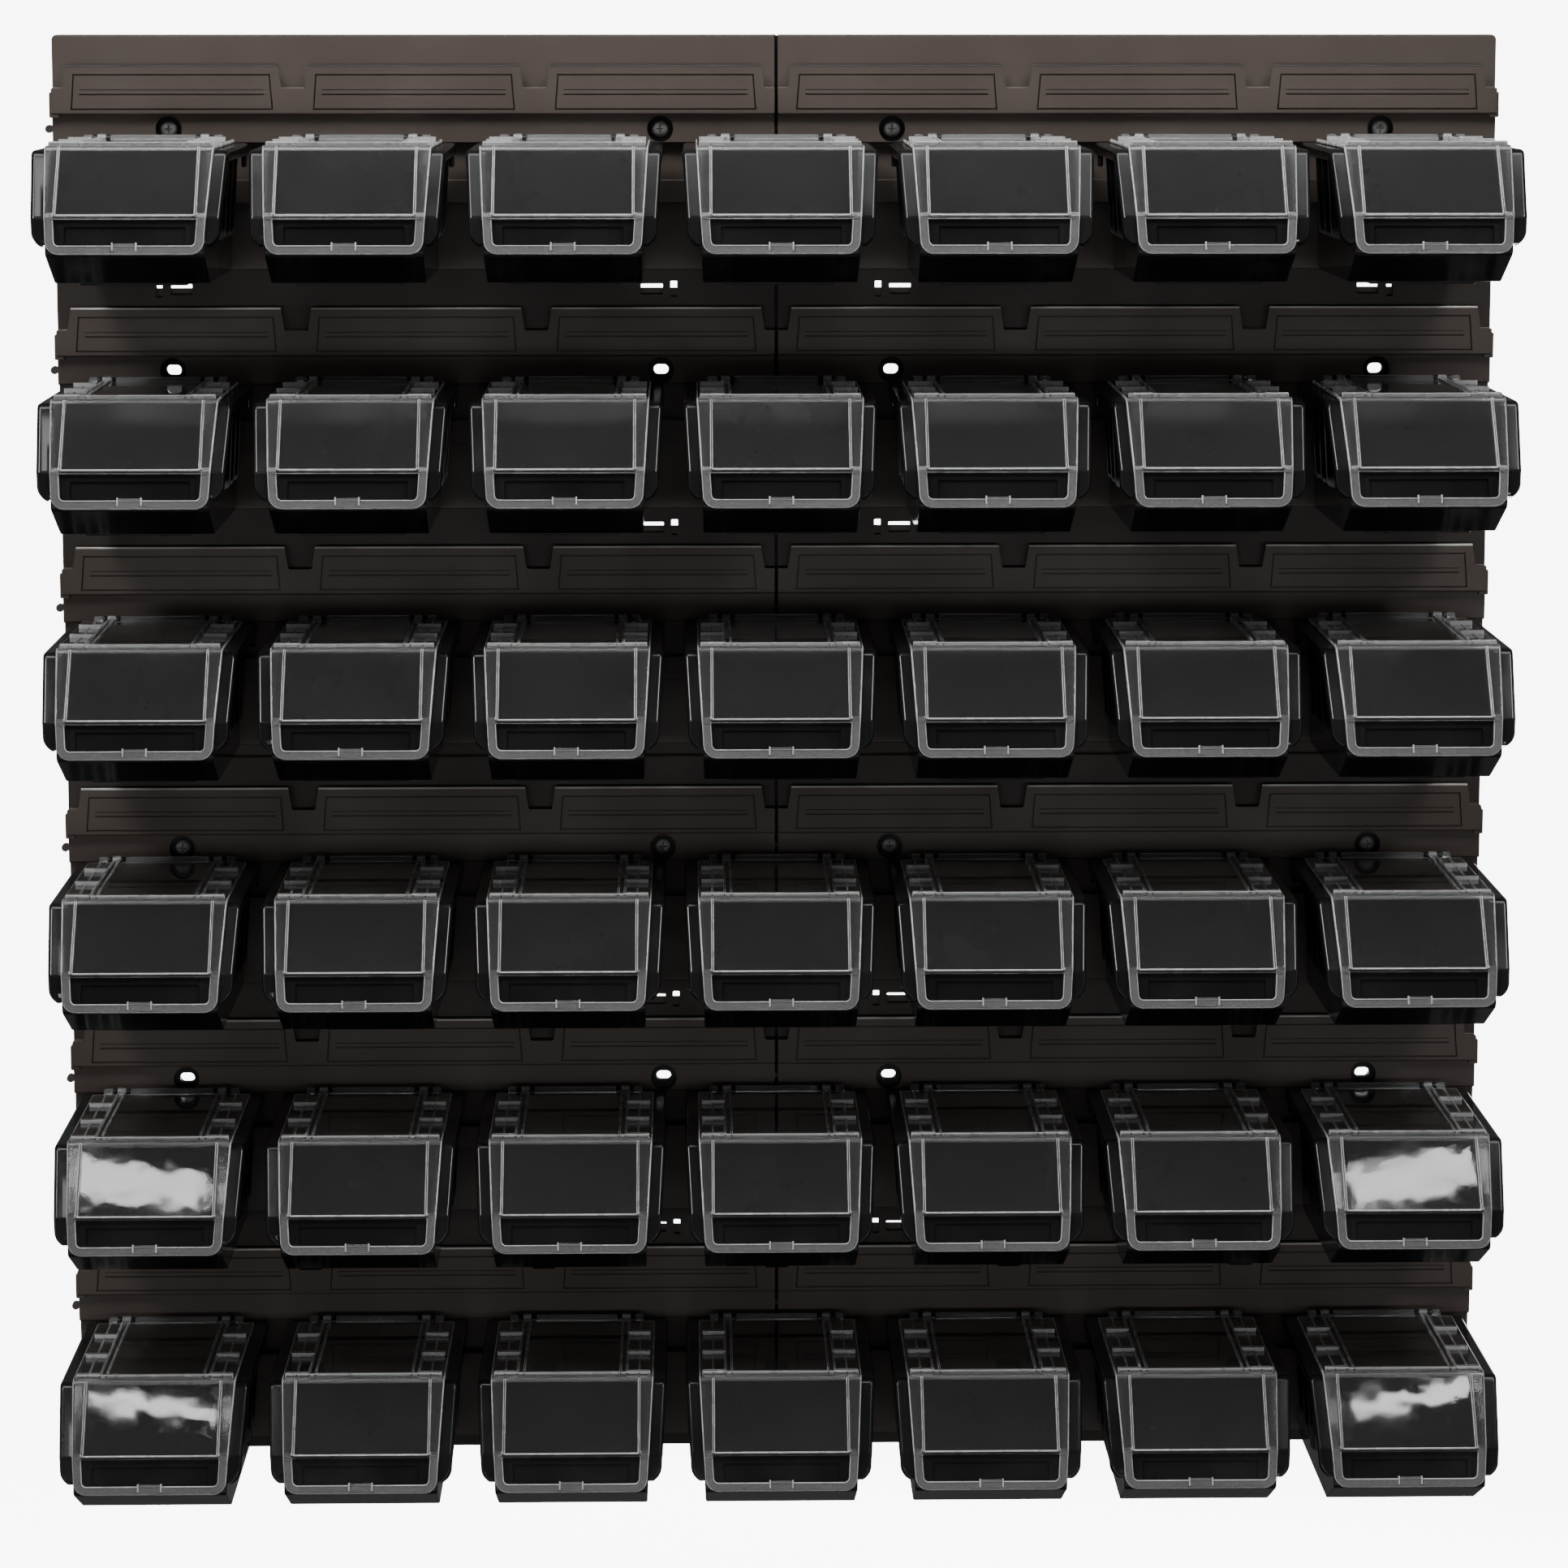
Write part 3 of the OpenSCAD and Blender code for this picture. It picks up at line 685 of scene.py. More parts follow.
def along_line(a, b, h_low, h_high, x_low, x_high, round_by):
    """A bar that follows a side line from a to b, from h_low to h_high over it; its edges are frosted."""
    up = left_of((b - a).normalized())
    outline = [a + up * h_low, b + up * h_low, b + up * h_high, a + up * h_high]
    made = softened(across(outline, x_low, x_high), round_by)
    for face in made.faces:
        flat = face.normal.dot(Vector((0, -up.x, up.y))) > FACING
        face.material_index = HAZE if flat else FROST
    return made


RIB_H = 1.2
BAND_H = 1.8
CROSS_RIB_H = 2.1
SUNK = 1.0
RIB_HALF_T = 0.6
RIB_ROUND = 0.35
WINDOW_RIB_HALF_T = 0.7
WINDOW_RIB_TOP_GAP = 1.2
WINDOW_RIB_LOW_GAP = 0.3


def window_ribs():
    """Raised ribs down both sides of the window."""
    way = (WINDOW_LOW - RIDGE).normalized()
    start, end = RIDGE + way * WINDOW_RIB_TOP_GAP, WINDOW_LOW - way * WINDOW_RIB_LOW_GAP
    half_t = WINDOW_RIB_HALF_T
    spots = [s * WINDOW_RIB_X for s in SIDES]
    return [along_line(start, end, -SUNK, RIB_H, x - half_t, x + half_t, RIB_ROUND) for x in spots]


BEAD_W = 0.9
BEAD_H = 0.45
BEAD_GAP = 0.2
FINE_ROUND = 0.25


def window_bead():
    """Fine raised edge along the foot of the window."""
    way = (WINDOW_LOW - RIDGE).normalized()
    half = WINDOW_RIB_X - BEAD_GAP
    top = WINDOW_LOW - way * BEAD_W
    return frosted(along_line(top, WINDOW_LOW, -SUNK, BEAD_H, -half, half, FINE_ROUND))


LONG_RIB_BACK = LID_PLATE_BACK + 0.7
LONG_RIB_FRONT = RIDGE.x - 3.4
LOW_RIB_H = 0.6
LOW_RIB_HALF_T = 0.45


def long_ribs():
    """Two ribs over each knuckle and a low one in line with each window rib, on top of the lid."""
    spots = [s * HINGE_X + t * (KNUCKLE_W - 2 * RIB_HALF_T) / 2 for s in SIDES for t in SIDES]
    start, end = Vector((LONG_RIB_BACK, TOP_Z)), Vector((LONG_RIB_FRONT, TOP_Z))
    half_t, low_half_t = RIB_HALF_T, LOW_RIB_HALF_T
    made = [along_line(start, end, -SUNK, RIB_H, x - half_t, x + half_t, RIB_ROUND) for x in spots]
    for x in (-WINDOW_RIB_X, WINDOW_RIB_X):
        made.append(along_line(start, end, -SUNK, LOW_RIB_H, x - low_half_t, x + low_half_t, FINE_ROUND))
    return made


BAND_BACK = RIDGE.x - 4.6
BAND_FRONT = RIDGE.x - 2.2
BAND_HALF = LID_HALF - 1.6
BAND_ROUND = 0.4


def ridge_band():
    """Low wall across the lid, at the top of the window."""
    start, end = Vector((BAND_BACK, TOP_Z)), Vector((BAND_FRONT, TOP_Z))
    made = along_line(start, end, -SUNK, BAND_H, -BAND_HALF, BAND_HALF, BAND_ROUND)
    for face in made.faces:
        if -face.normal.y > FACING:
            face.material_index = HAZE
    return made


CROSS_RIB_L = 11.6
CROSS_RIB_W = 3.0
CROSS_RIB_PITCH = 36.0
CROSS_RIBS = 3
CROSS_RIB_FIRST = RIDGE.x - 4.2
CROSS_RIB_LAP = 0.8
CROSS_RIB_ROOT_R = 0.2
CROSS_RIB_END_R = 1.45
CROSS_RIB_ROUND = 0.4


def cross_ribs():
    """Short ribs with round ends and hazy tops beside the long ribs, on both sides."""
    made = []
    side, half = HINGE_X + KNUCKLE_W / 2, CROSS_RIB_W / 2
    start, step = (0, CROSS_RIB_FIRST, 0), (0, -CROSS_RIB_PITCH, 0)
    for s in SIDES:
        inner, outer = s * (side - CROSS_RIB_LAP), s * (side + CROSS_RIB_L)
        low, high = min(inner, outer), max(inner, outer)
        radii = [CROSS_RIB_END_R if x == outer else CROSS_RIB_ROOT_R for x in (low, high, high, low)]
        plan = rounded(rectangle((low, -half), (high, half)), radii)
        levels = (TOP_Z - SUNK, TOP_Z + CROSS_RIB_H)
        rib = skin([[(x, d, z) for x, d in plan] for z in levels])
        one = as_object("cross_rib", softened(rib, CROSS_RIB_ROUND))
        ribs = dressed(spread("cross_ribs", one, CROSS_RIBS, start, step, lid_haze), LID_FINISHES)
        for face in ribs.data.polygons:
            face.material_index = HAZE if face.normal.z > FACING else FROST
        made.append(ribs)
    return made


REAR_BAR_R = 2.6
REAR_BAR_GAP = 2.6
REAR_BAR_END = 36.9
REAR_BAR_FRONT = LID_PLATE_BACK + 1.5
REAR_BAR_ROUND = 0.5


def rear_bars():
    """Rounded rear edge between and beside the hinge knuckles."""
    end, zone = REAR_BAR_END, KNUCKLE_W / 2 + REAR_BAR_GAP
    ends = (-end, -HINGE_X - zone, -HINGE_X + zone, HINGE_X - zone, HINGE_X + zone, end)
    outline = round_axis(REAR_BAR_R, range(75, 286, 15))
    outline += [Vector((REAR_BAR_FRONT, z)) for z in (TOP_Z - LID_T, TOP_Z)]
    bars = [across(outline, a, b) for a, b in zip(ends[::2], ends[1::2])]
    return [with_finish(softened(bar, REAR_BAR_ROUND), HAZE) for bar in bars]


KNUCKLE_ROUND = 0.4
NECK_BACK = AXIS_D + 1.2
NECK_FRONT = LID_PLATE_BACK + 2
ROD_PLAY = 0.2
MOUTH_HALF = 1.3
MOUTH_DEPTH = 8


def knuckles():
    """Snap eyes that turn on the bin's rods."""
    made = []
    for s in SIDES:
        low, high = s * HINGE_X - KNUCKLE_W / 2, s * HINGE_X + KNUCKLE_W / 2
        eye = softened(across(disc((AXIS_D, AXIS_Z), KNUCKLE_R), low, high), KNUCKLE_ROUND)
        neck = block((low, NECK_BACK, TOP_Z - LID_T), (high, NECK_FRONT, TOP_Z + RIB_H))
        solids = [with_finish(solid, HAZE) for solid in (eye, softened(neck, RIB_ROUND))]
        low, high = low - FAR_OVER, high + FAR_OVER
        bore = across(disc((AXIS_D, AXIS_Z), ROD_R + ROD_PLAY), low, high)
        mouth = block((low, AXIS_D - MOUTH_HALF, AXIS_Z - MOUTH_DEPTH), (high, AXIS_D + MOUTH_HALF, AXIS_Z))
        made.append(combined("knuckle", solids, [frosted(bore), frosted(mouth)], materials=LID_FINISHES))
    return made


TAB_HALF = 6.0
PAD_V = (FRONT_L - 5.5, FRONT_L - 0.8)
PAD_H = 0.35
FIN_V = (FRONT_L - 5.9, FRONT_L - 1.6)
FIN_H = 1.1
FIN_HALF_T = 0.4


def pull_tab():
    """A thin pad between two upright fins, at the middle of the frame's lower bar."""

    def plate(x_low, x_high, v_span, h, finish):
        outline = rectangle((x_low, v_span[0]), (x_high, v_span[1]))
        rings = [[front_point(x, v, level) for x, v in outline] for level in (-LID_T / 2, h)]
        return with_finish(softened(skin(rings), FINE_ROUND), finish)

    pad = plate(-TAB_HALF, TAB_HALF, PAD_V, PAD_H, HAZE)
    spots = (-TAB_HALF, TAB_HALF)
    return [pad, *(plate(x - FIN_HALF_T, x + FIN_HALF_T, FIN_V, FIN_H, FROST) for x in spots)]


CLIP_INSET = 3.4
CLIP_HALF = 1.7
CLIP_V = (0.2, 2.0)
CLIP_H = 0.4


def corner_clips():
    """Small raised clips where the frame's legs meet the window."""
    made = []
    for s in SIDES:
        middle = s * (lid_half(WINDOW_LOW.y) - CLIP_INSET)
        outline = rectangle((middle - CLIP_HALF, CLIP_V[0]), (middle + CLIP_HALF, CLIP_V[1]))
        rings = [[front_point(x, v, h) for x, v in outline] for h in (-SUNK, CLIP_H)]
        made.append(with_finish(softened(skin(rings), FINE_ROUND), HAZE))
    return made


def lid():
    solids = [lid_plate(), lid_frame(), ridge_band(), *window_ribs(), window_bead(), *long_ribs()]
    solids += [*cross_ribs(), *rear_bars(), *knuckles(), *pull_tab(), *corner_clips()]
    return combined("lid", solids, materials=LID_FINISHES)


# Bin


def wall_half(z, inset=0.0):
    return FLOOR_HALF + (z - FLOOR_Z) * WALL_LEAN - inset


def ear_half(z):
    return BIN_HALF + (z - TOP_Z) * EDGE_LEAN


LID_LINE = [Vector((REAR_D, TOP_Z)), RIDGE, WINDOW_LOW, FOOT]
NOSE = offset(LID_LINE, RIM_DEPTH)
FLOOR_NOSE = Vector((FLOOR_FRONT, FLOOR_Z))
FLOOR_BACK = Vector((REAR_D, FLOOR_Z))
TUB_RADII = [0.8, 6.0, 6.0, 3.0, 4.0, 3.0]
TUB_ROUND = 1.4
ROOM_RADII = [0, 0, 0, 0.4, 4.0, 2.0, 3.0, 2.0]
ROOM_FRONT = FOOT.x + 10


def tub():
    """The bin's leaning walls and floor, hollow and open above and at the window."""
    outline = rounded([*NOSE, FLOOR_NOSE, FLOOR_BACK], TUB_RADII)
    body = softened(tapered(outline, wall_half), TUB_ROUND, steps=3)
    inner = offset([NOSE[2], NOSE[3], FLOOR_NOSE, FLOOR_BACK], BIN_WALL)
    back = REAR_D + BIN_WALL
    hollow = [
        (back, OVER),
        (ROOM_FRONT, OVER),
        (ROOM_FRONT, NOSE[2].y),
        (inner[0].x, NOSE[2].y),
        *inner[:3],
        (back, inner[3].y),
    ]
    room = tapered(rounded(hollow, ROOM_RADII), lambda z: wall_half(z, BIN_WALL))
    return combined("tub", [body], [room])


EAR_BEND_R = 9.0
EAR_RADII = [0, 2.0, 0.5, 0.5, 0.6, 0]


def ear(side):
    """Rim and front ear of one side: a flange with a skirt at its outer edge and a round lower end."""
    end = WINDOW_LOW + FRONT_WAY * (WINDOW_LOW.y - EAR_LOW_Z) / -FRONT_WAY.y
    path = rounded_path([(REAR_D, TOP_Z), RIDGE, WINDOW_LOW, end], EAR_BEND_R)
    tail = path.pop()
    start = tail - FRONT_WAY * EAR_R
    path += [start + FRONT_WAY * EAR_R * math.sin(math.radians(a)) for a in range(0, 61, 6)]
    top, under, low = -RIM_DEPTH, -RIM_DEPTH - RIM_T, -RIM_DEPTH - SKIRT_H
    rings = []
    for p, up in stations(path):
        along = max(0.0, (p - start).dot(FRONT_WAY)) if p.y < WINDOW_LOW.y else 0.0
        root = wall_half(p.y, BIN_WALL / 2)
        out = ear_half(p.y) - EAR_R + math.sqrt(EAR_R**2 - along**2)
        inner = out - SKIRT_T
        corners = [(root, top), (out, top), (out, low), (inner, low), (inner, under), (root, under)]
        section = rounded(corners, EAR_RADII)
        rings.append([(side * x, p.x + up.x * h, p.y + up.y * h) for x, h in section])
    return skin(rings)


SIDE_RIBS = 3
SIDE_RIB_FIRST = REAR_D + 48
SIDE_RIB_PITCH = 22.0
SIDE_RIB_T = 2.0
SIDE_RIB_INSET = 0.8
SIDE_RIB_R = EAR_R - 2
BIN_ROUND = 0.4


def side_ribs():
    """Upright ribs under the rim, on both side walls."""
    made = []
    start, step = (0, SIDE_RIB_FIRST, 0), (0, SIDE_RIB_PITCH, 0)
    low, high = EAR_LOW_Z, TOP_Z - RIM_DEPTH - RIM_T / 2
    for s in SIDES:
        outline = [
            (s * wall_half(low, BIN_WALL / 2), low),
            (s * (ear_half(low) - SIDE_RIB_INSET), low),
            (s * (ear_half(high) - SIDE_RIB_INSET), high),
            (s * wall_half(high, BIN_WALL / 2), high),
        ]
        rib = outward(rounded(outline, [0, SIDE_RIB_R, 0, 0]), 0, SIDE_RIB_T)
        one = as_object("side_rib", softened(rib, BIN_ROUND))
        made.append(spread("side_ribs", one, SIDE_RIBS, start, step, bin_plastic))
    return made


HOOK_HALF = 30.0
HOOK_T = 2.2
HOOK_BACK = 4.4
HOOK_DROP = 9.0
HOOK_PLAY = 0.2
HOOK_RADII = [0, 1.6, 0.8, 0.8, 0.3, 0]
HEEL_HALF_T = 1
HEEL_PLAY = 0.3
HEEL_LOW_Z = LEDGE_Z + 1
HEEL_TOP_Z = RAIL_LOW_Z - 12


def hook():
    """Hook that hangs on the panel's rail, and two heels that keep the bin level."""
    seat, tip = RAIL_Z + HOOK_PLAY, RAIL_Z - HOOK_DROP
    root, front = REAR_D + BIN_WALL / 2, HOOK_BACK + HOOK_T
    outline = [
        (root, seat + HOOK_T),
        (HOOK_BACK, seat + HOOK_T),
        (HOOK_BACK, tip),
        (front, tip),
        (front, seat),
        (root, seat),
    ]
    made = [softened(across(rounded(outline, HOOK_RADII), -HOOK_HALF, HOOK_HALF), BIN_ROUND)]
    for x in (-HOOK_HALF, HOOK_HALF):
        low = (x - HEEL_HALF_T, LOWER_D + HEEL_PLAY, HEEL_LOW_Z)
        made.append(softened(block(low, (x + HEEL_HALF_T, root, HEEL_TOP_Z)), BIN_ROUND))
    return made


BRACKET_PLAY = 0.3
BRACKET_T = 2
BRACKET_NOSE_R = ROD_R + 1
BRACKET_TOP_Z = TOP_Z - RIM_DEPTH - 1
BRACKET_LOW_Z = AXIS_Z - 3 * KNUCKLE_R
BRACKET_ROUND = 0.3


def hinge_seats():
    """Brackets and rods that the lid's knuckles snap on."""
    made = []
    gap = KNUCKLE_W / 2 + BRACKET_PLAY
    root = REAR_D + BIN_WALL / 2
    nose = round_axis(BRACKET_NOSE_R, range(90, -91, -15))
    outline = [(root, BRACKET_TOP_Z), *nose, (root, BRACKET_LOW_Z)]
    for s in SIDES:
        for t in SIDES:
            inner, outer = s * HINGE_X + t * gap, s * HINGE_X + t * (gap + BRACKET_T)
            bracket = across(outline, min(inner, outer), max(inner, outer))
            made.append(softened(bracket, BRACKET_ROUND))
        reach = gap + BRACKET_T / 2
        made.append(across(disc((AXIS_D, AXIS_Z), ROD_R), s * HINGE_X - reach, s * HINGE_X + reach))
    return made


SKID_HALF = 27.5
SKID_INSET = 6
SKID_H = 1.6
SKID_SUNK = 0.9
SKID_ROUND = 0.8


def skid():
    """Low pad under the floor."""
    low = (-SKID_HALF, REAR_D + SKID_INSET, FLOOR_Z - SKID_H)
    high = (SKID_HALF, FLOOR_FRONT - SKID_INSET, FLOOR_Z + SKID_SUNK)
    return softened(block(low, high), SKID_ROUND)


LABEL_HALF_W = 30.5
LABEL_H = 9.6
LABEL_CUT = 1.1
LABEL_RAIL_W = 2.6
LABEL_RAIL_H = 0.5
LABEL_R = 0.6
LABEL_FOOT_W = 1.2
LABEL_RAIL_SUNK = 0.6
LABEL_RAIL_ROUND = 0.3


def label_recess():
    """Shallow pocket in the front that shows through the lid's opening."""
    top, low = FRONT_L / 2 - LABEL_H / 2, FRONT_L / 2 + LABEL_H / 2
    outline = rounded(rectangle((-LABEL_HALF_W, top), (LABEL_HALF_W, low)), LABEL_R)
    return skin([[front_point(x, v, h) for x, v in outline] for h in (-RIM_DEPTH - LABEL_CUT, OVER)])


def label_rails():
    """Low rails at the pocket's ends and along its foot, which hold a label."""
    top, low = FRONT_L / 2 - LABEL_H / 2, FRONT_L / 2 + LABEL_H / 2
    end = LABEL_HALF_W + LABEL_RAIL_W
    spans = [((s * LABEL_HALF_W, top), (s * end, low)) for s in SIDES]
    spans.append(((-end, low), (end, low + LABEL_FOOT_W)))
    levels = (-RIM_DEPTH - LABEL_RAIL_SUNK, LABEL_RAIL_H - RIM_DEPTH)
    made = []
    for a, b in spans:
        outline = rectangle((min(a[0], b[0]), a[1]), (max(a[0], b[0]), b[1]))
        rail = skin([[front_point(x, v, h) for x, v in outline] for h in levels])
        made.append(softened(rail, LABEL_RAIL_ROUND))
    return made


POST_X = 47.5
POST_HALF_T = 1.4
POST_D = 4.5
POST_LOW_Z = -20
POST_TOP_Z = -8.2
POST_ROUND = 0.9


def rear_posts():
    """Rounded uprights at the rear ends of the rim."""
    made = []
    for x in (-POST_X, POST_X):
        low = (x - POST_HALF_T, REAR_D, POST_LOW_Z)
        high = (x + POST_HALF_T, REAR_D + POST_D, POST_TOP_Z)
        made.append(softened(block(low, high), POST_ROUND, steps=3))
    return made


def storage_bin():
    solids = [tub(), *(ear(s) for s in SIDES), *side_ribs(), *hook(), *hinge_seats(), skid(), *rear_posts()]
    solids += label_rails()
    return combined("bin", solids, [label_recess()])


# Panel


def row_front(z):
    """Front line of one row, from the free lip down to the ledge."""
    return [
        (BASE_D, z + STRIP_TOP - LIP_FREE),
        (STRIP_D - SKIN, z + STRIP_TOP - LIP_FREE),
        (STRIP_D - SKIN, z + STRIP_TOP),
        (STRIP_D, z + STRIP_TOP),
        (STRIP_D, z + HALF_BAND),
        (BAND_D, z + HALF_BAND),
        (BAND_D, z - HALF_BAND),
        (RECESS_D, z - HALF_BAND),
        (RECESS_D, z + TROUGH_Z),
        (TROUGH_D, z + TROUGH_Z),
        (TROUGH_D, z + RAIL_Z),
        (RAIL_D, z + RAIL_Z),
        (RAIL_D, z + RAIL_LOW_Z),
        (LOWER_D, z + RAIL_LOW_Z),
        (LOWER_D, z + LEDGE_Z),
        (BASE_D, z + LEDGE_Z),
    ]


FRONT_RADII = [0.8, 0.6, 1.0, 1.0, 1.1, 0.5, 1.0, 0.8, 0.4, 0.4, 0.7, 0.7, 0.6, 0.6, 0.35, 0.35]
LIP_EDGE = 1.05


def row_back(z, t):
    """Back line of one row, t behind the front."""
    return [
        (BASE_D - t, z + STRIP_TOP - LIP_FREE - t),
        (STRIP_D - t, z + STRIP_TOP - LIP_FREE - t),
        (STRIP_D - t, z + HALF_BAND + t),
        (BAND_D - t, z + HALF_BAND + t),
        (BAND_D - t, z - HALF_BAND + t),
        (RECESS_D - t, z - HALF_BAND + t),
        (RECESS_D - t, z + RAIL_LOW_Z),
        (LOWER_D - t, z + RAIL_LOW_Z),
        (LOWER_D - t, z + LEDGE_Z + t - LEDGE_LAP),
        (BASE_D - t, z + LEDGE_Z + t - LEDGE_LAP),
    ]


drops = [FIRST_DROP + q * ROW_PITCH for q in range(PANEL_ROWS)]
SLOT_DROPS = drops[:2]
SLOT_X = PANEL_W / 2 - SLOT_INSET
END_R = 1.2
BACK_END_R = 0.3
BACK_R = 0.4
PANEL_ROUND = 0.8
NEAR = 0.1
END_FACE = 0.5


def panel_skin(has_top_band):
    """The panel's formed sheet, with painted shade on the floor, a painted shadow line on the rack's top
    lip and a painted highlight on the other lips.
    """
    fronts = [p for z in drops for p in row_front(-z)]
    backs = [p for z in drops for p in row_back(-z, SKIN)][::-1]
    back_d = BASE_D - SKIN
    outline = [(BASE_D, 0), *fronts, (BASE_D, PANEL_LOW), (back_d, PANEL_LOW), *backs, (back_d, 0)]
    radii = [END_R, *FRONT_RADII * PANEL_ROWS, END_R, BACK_END_R, *[BACK_R] * len(backs), BACK_END_R]
    made = softened(across(rounded(outline, radii, steps=3), -BODY_W / 2, BODY_W / 2), PANEL_ROUND)
    lip_tops = [STRIP_TOP - z for z in drops]
    for face in made.faces:
        spot = face.calc_center_median()
        on_lip = any(-LIP_EDGE < spot.z - top < NEAR for top in lip_tops) and spot.y < LIP_EDGE - STRIP_D
        takes_floor_shade = abs(spot.y + BASE_D) < NEAR and (spot.z < -FIRST_DROP or not has_top_band)
        # Lip edges take the painted highlight, or a painted shadow line on the rack's top lip; the floor
        # takes painted shade
        if on_lip and abs(face.normal.x) < END_FACE:
            face.material_index = BLACK_SHADE if has_top_band and spot.z > -FIRST_DROP else LIP_HIGHLIGHT
        elif takes_floor_shade:
            face.material_index = FLOOR_SHADE
    return made


BACK_RIB_PITCH = PANEL_W / 6
BACK_RIB_HALF_T = 1


def panel_walls():
    """Side walls, upright ribs and end walls behind the skin."""
    t = SKIN - LAP
    section = [(0, 0), (BASE_D - t, 0)]
    section += [p for z in drops for p in row_back(-z, t)]
    section += [(BASE_D - t, PANEL_LOW), (0, PANEL_LOW)]
    side_x = BODY_W / 2 - SKIN / 2
    uprights = [(s * side_x, SKIN / 2) for s in SIDES]
    uprights += [(k * BACK_RIB_PITCH, BACK_RIB_HALF_T) for k in (-1, 0, 1)]
    made = [across(section, x - half_t, x + half_t) for x, half_t in uprights]
    for z in (0, PANEL_LOW + SKIN):
        made.append(block((-side_x, 0, z - SKIN), (side_x, BASE_D - t, z)))
    return made


TONGUE = 1.0
TONGUE_PLAY = 0.3
TONGUE_LOW_D = 0.3
TONGUE_D = 1.3
CROSSING_PLAY = 0.05
TONGUE_END_GAP = 0.5


def seam_tongues(on_right, below):
    """Thin lips behind the neighbouring panel's edge, so that no light shows through the seams."""
    spans = []
    half, reach, root_z = BODY_W / 2, PANEL_GAP + TONGUE, PANEL_LOW + LAP
    if on_right:
        spans.append(((half - LAP, PANEL_LOW), (half + reach, -TONGUE_END_GAP)))
    if below:
        spans.append(((TONGUE_END_GAP - half, PANEL_LOW - reach), (half, root_z)))
    if on_right and below:
        low_z = PANEL_LOW - reach - TONGUE_PLAY + CROSSING_PLAY
        high_x = half + PANEL_GAP + TONGUE_END_GAP - CROSSING_PLAY
        spans.append(((half + CROSSING_PLAY, low_z), (high_x, root_z)))
    tongues = [outward(rectangle(low, high), TONGUE_LOW_D, TONGUE_D) for low, high in spans]
    # The lips take the near-black painted shade of a seam in shadow
    return [with_finish(tongue, BLACK_SHADE) for tongue in tongues]


def seam_rebates(on_left, above):
    """Room for the neighbours' lips."""
    made = []
    half, room, front = BODY_W / 2, TONGUE + TONGUE_PLAY, TONGUE_D + TONGUE_PLAY
    if on_left:
        made.append(block((-half - OVER, -OVER, PANEL_LOW - FAR_OVER), (room - half, front, OVER)))
    if above:
        made.append(block((-half - OVER, -OVER, -room), (half + OVER, front, OVER)))
    return made


SEAM_CUT = 0.7


def seam_grooves(on_right):
    """The panel's front drawn back from the upright seam, down to the lips behind it."""
    side = 1 if on_right else -1
    edge = side * BODY_W / 2
    low_x, high_x = sorted((edge - side * SEAM_CUT, edge + side * OVER))
    low = (low_x, TONGUE_D + TONGUE_PLAY, PANEL_LOW - FAR_OVER)
    # The groove's cut faces take the near-black painted shade
    return [with_finish(block(low, (high_x, STRIP_D + FAR_OVER, FAR_OVER)), BLACK_SHADE)]


END_TAB_ROOT = 4
END_TAB_REACH = 1.2
END_TAB_BACK = BAND_D - 2
END_TAB_FRONT = STRIP_D - 0.7
END_TAB_LOW = 6
END_TAB_TOP = 19.5
END_TAB_ROUND = 0.5


def strip_end_tabs(side):
    """Small tabs at the strips' ends, on the rack's outer edges."""
    edge = side * BODY_W / 2
    low_x, high_x = sorted((edge - side * END_TAB_ROOT, edge + side * END_TAB_REACH))
    made = []
    for z in drops:
        low, high = (low_x, END_TAB_BACK, END_TAB_LOW - z), (high_x, END_TAB_FRONT, END_TAB_TOP - z)
        made.append(softened(block(low, high), END_TAB_ROUND))
    return made


SECTIONS = 3
SECTION_W = PANEL_W / SECTIONS
NOTCH_ABOVE = 2
NOTCH_HALF_TOP = 8.55
NOTCH_HALF_LOW = 6.25
NOTCH_R = 1.0
NOTCH_BACK = STRIP_D - SKIN - 0.5


def lip_notches():
    """Trapezoid gaps in the strips' free lips, with round inner corners."""
    top, low = NOTCH_HALF_TOP, NOTCH_HALF_LOW
    corners = [(-top, NOTCH_ABOVE), (top, NOTCH_ABOVE), (low, -LIP_FREE), (-low, -LIP_FREE)]
    outline = rounded(corners, [0, 0, NOTCH_R, NOTCH_R])
    made = []
    for z in drops:
        one = as_object("notch", outward(outline, NOTCH_BACK, STRIP_D + OVER))
        start = (-PANEL_W / 2, 0, STRIP_TOP - z)
        made.append(spread("notches", one, SECTIONS + 1, start, (SECTION_W, 0, 0)))
    return made


GROOVE_W = 0.8
GROOVE_CUT = 0.9
GROOVE_TOP = 29.2
GROOVE_LOW = 10.2
GROOVE_HALF_TOP = 52.3
GROOVE_HALF_LOW = 53.8
LINE_HALF = 48.9
LINE_Z = 18.0
FINE_LINE_Z = 20.6


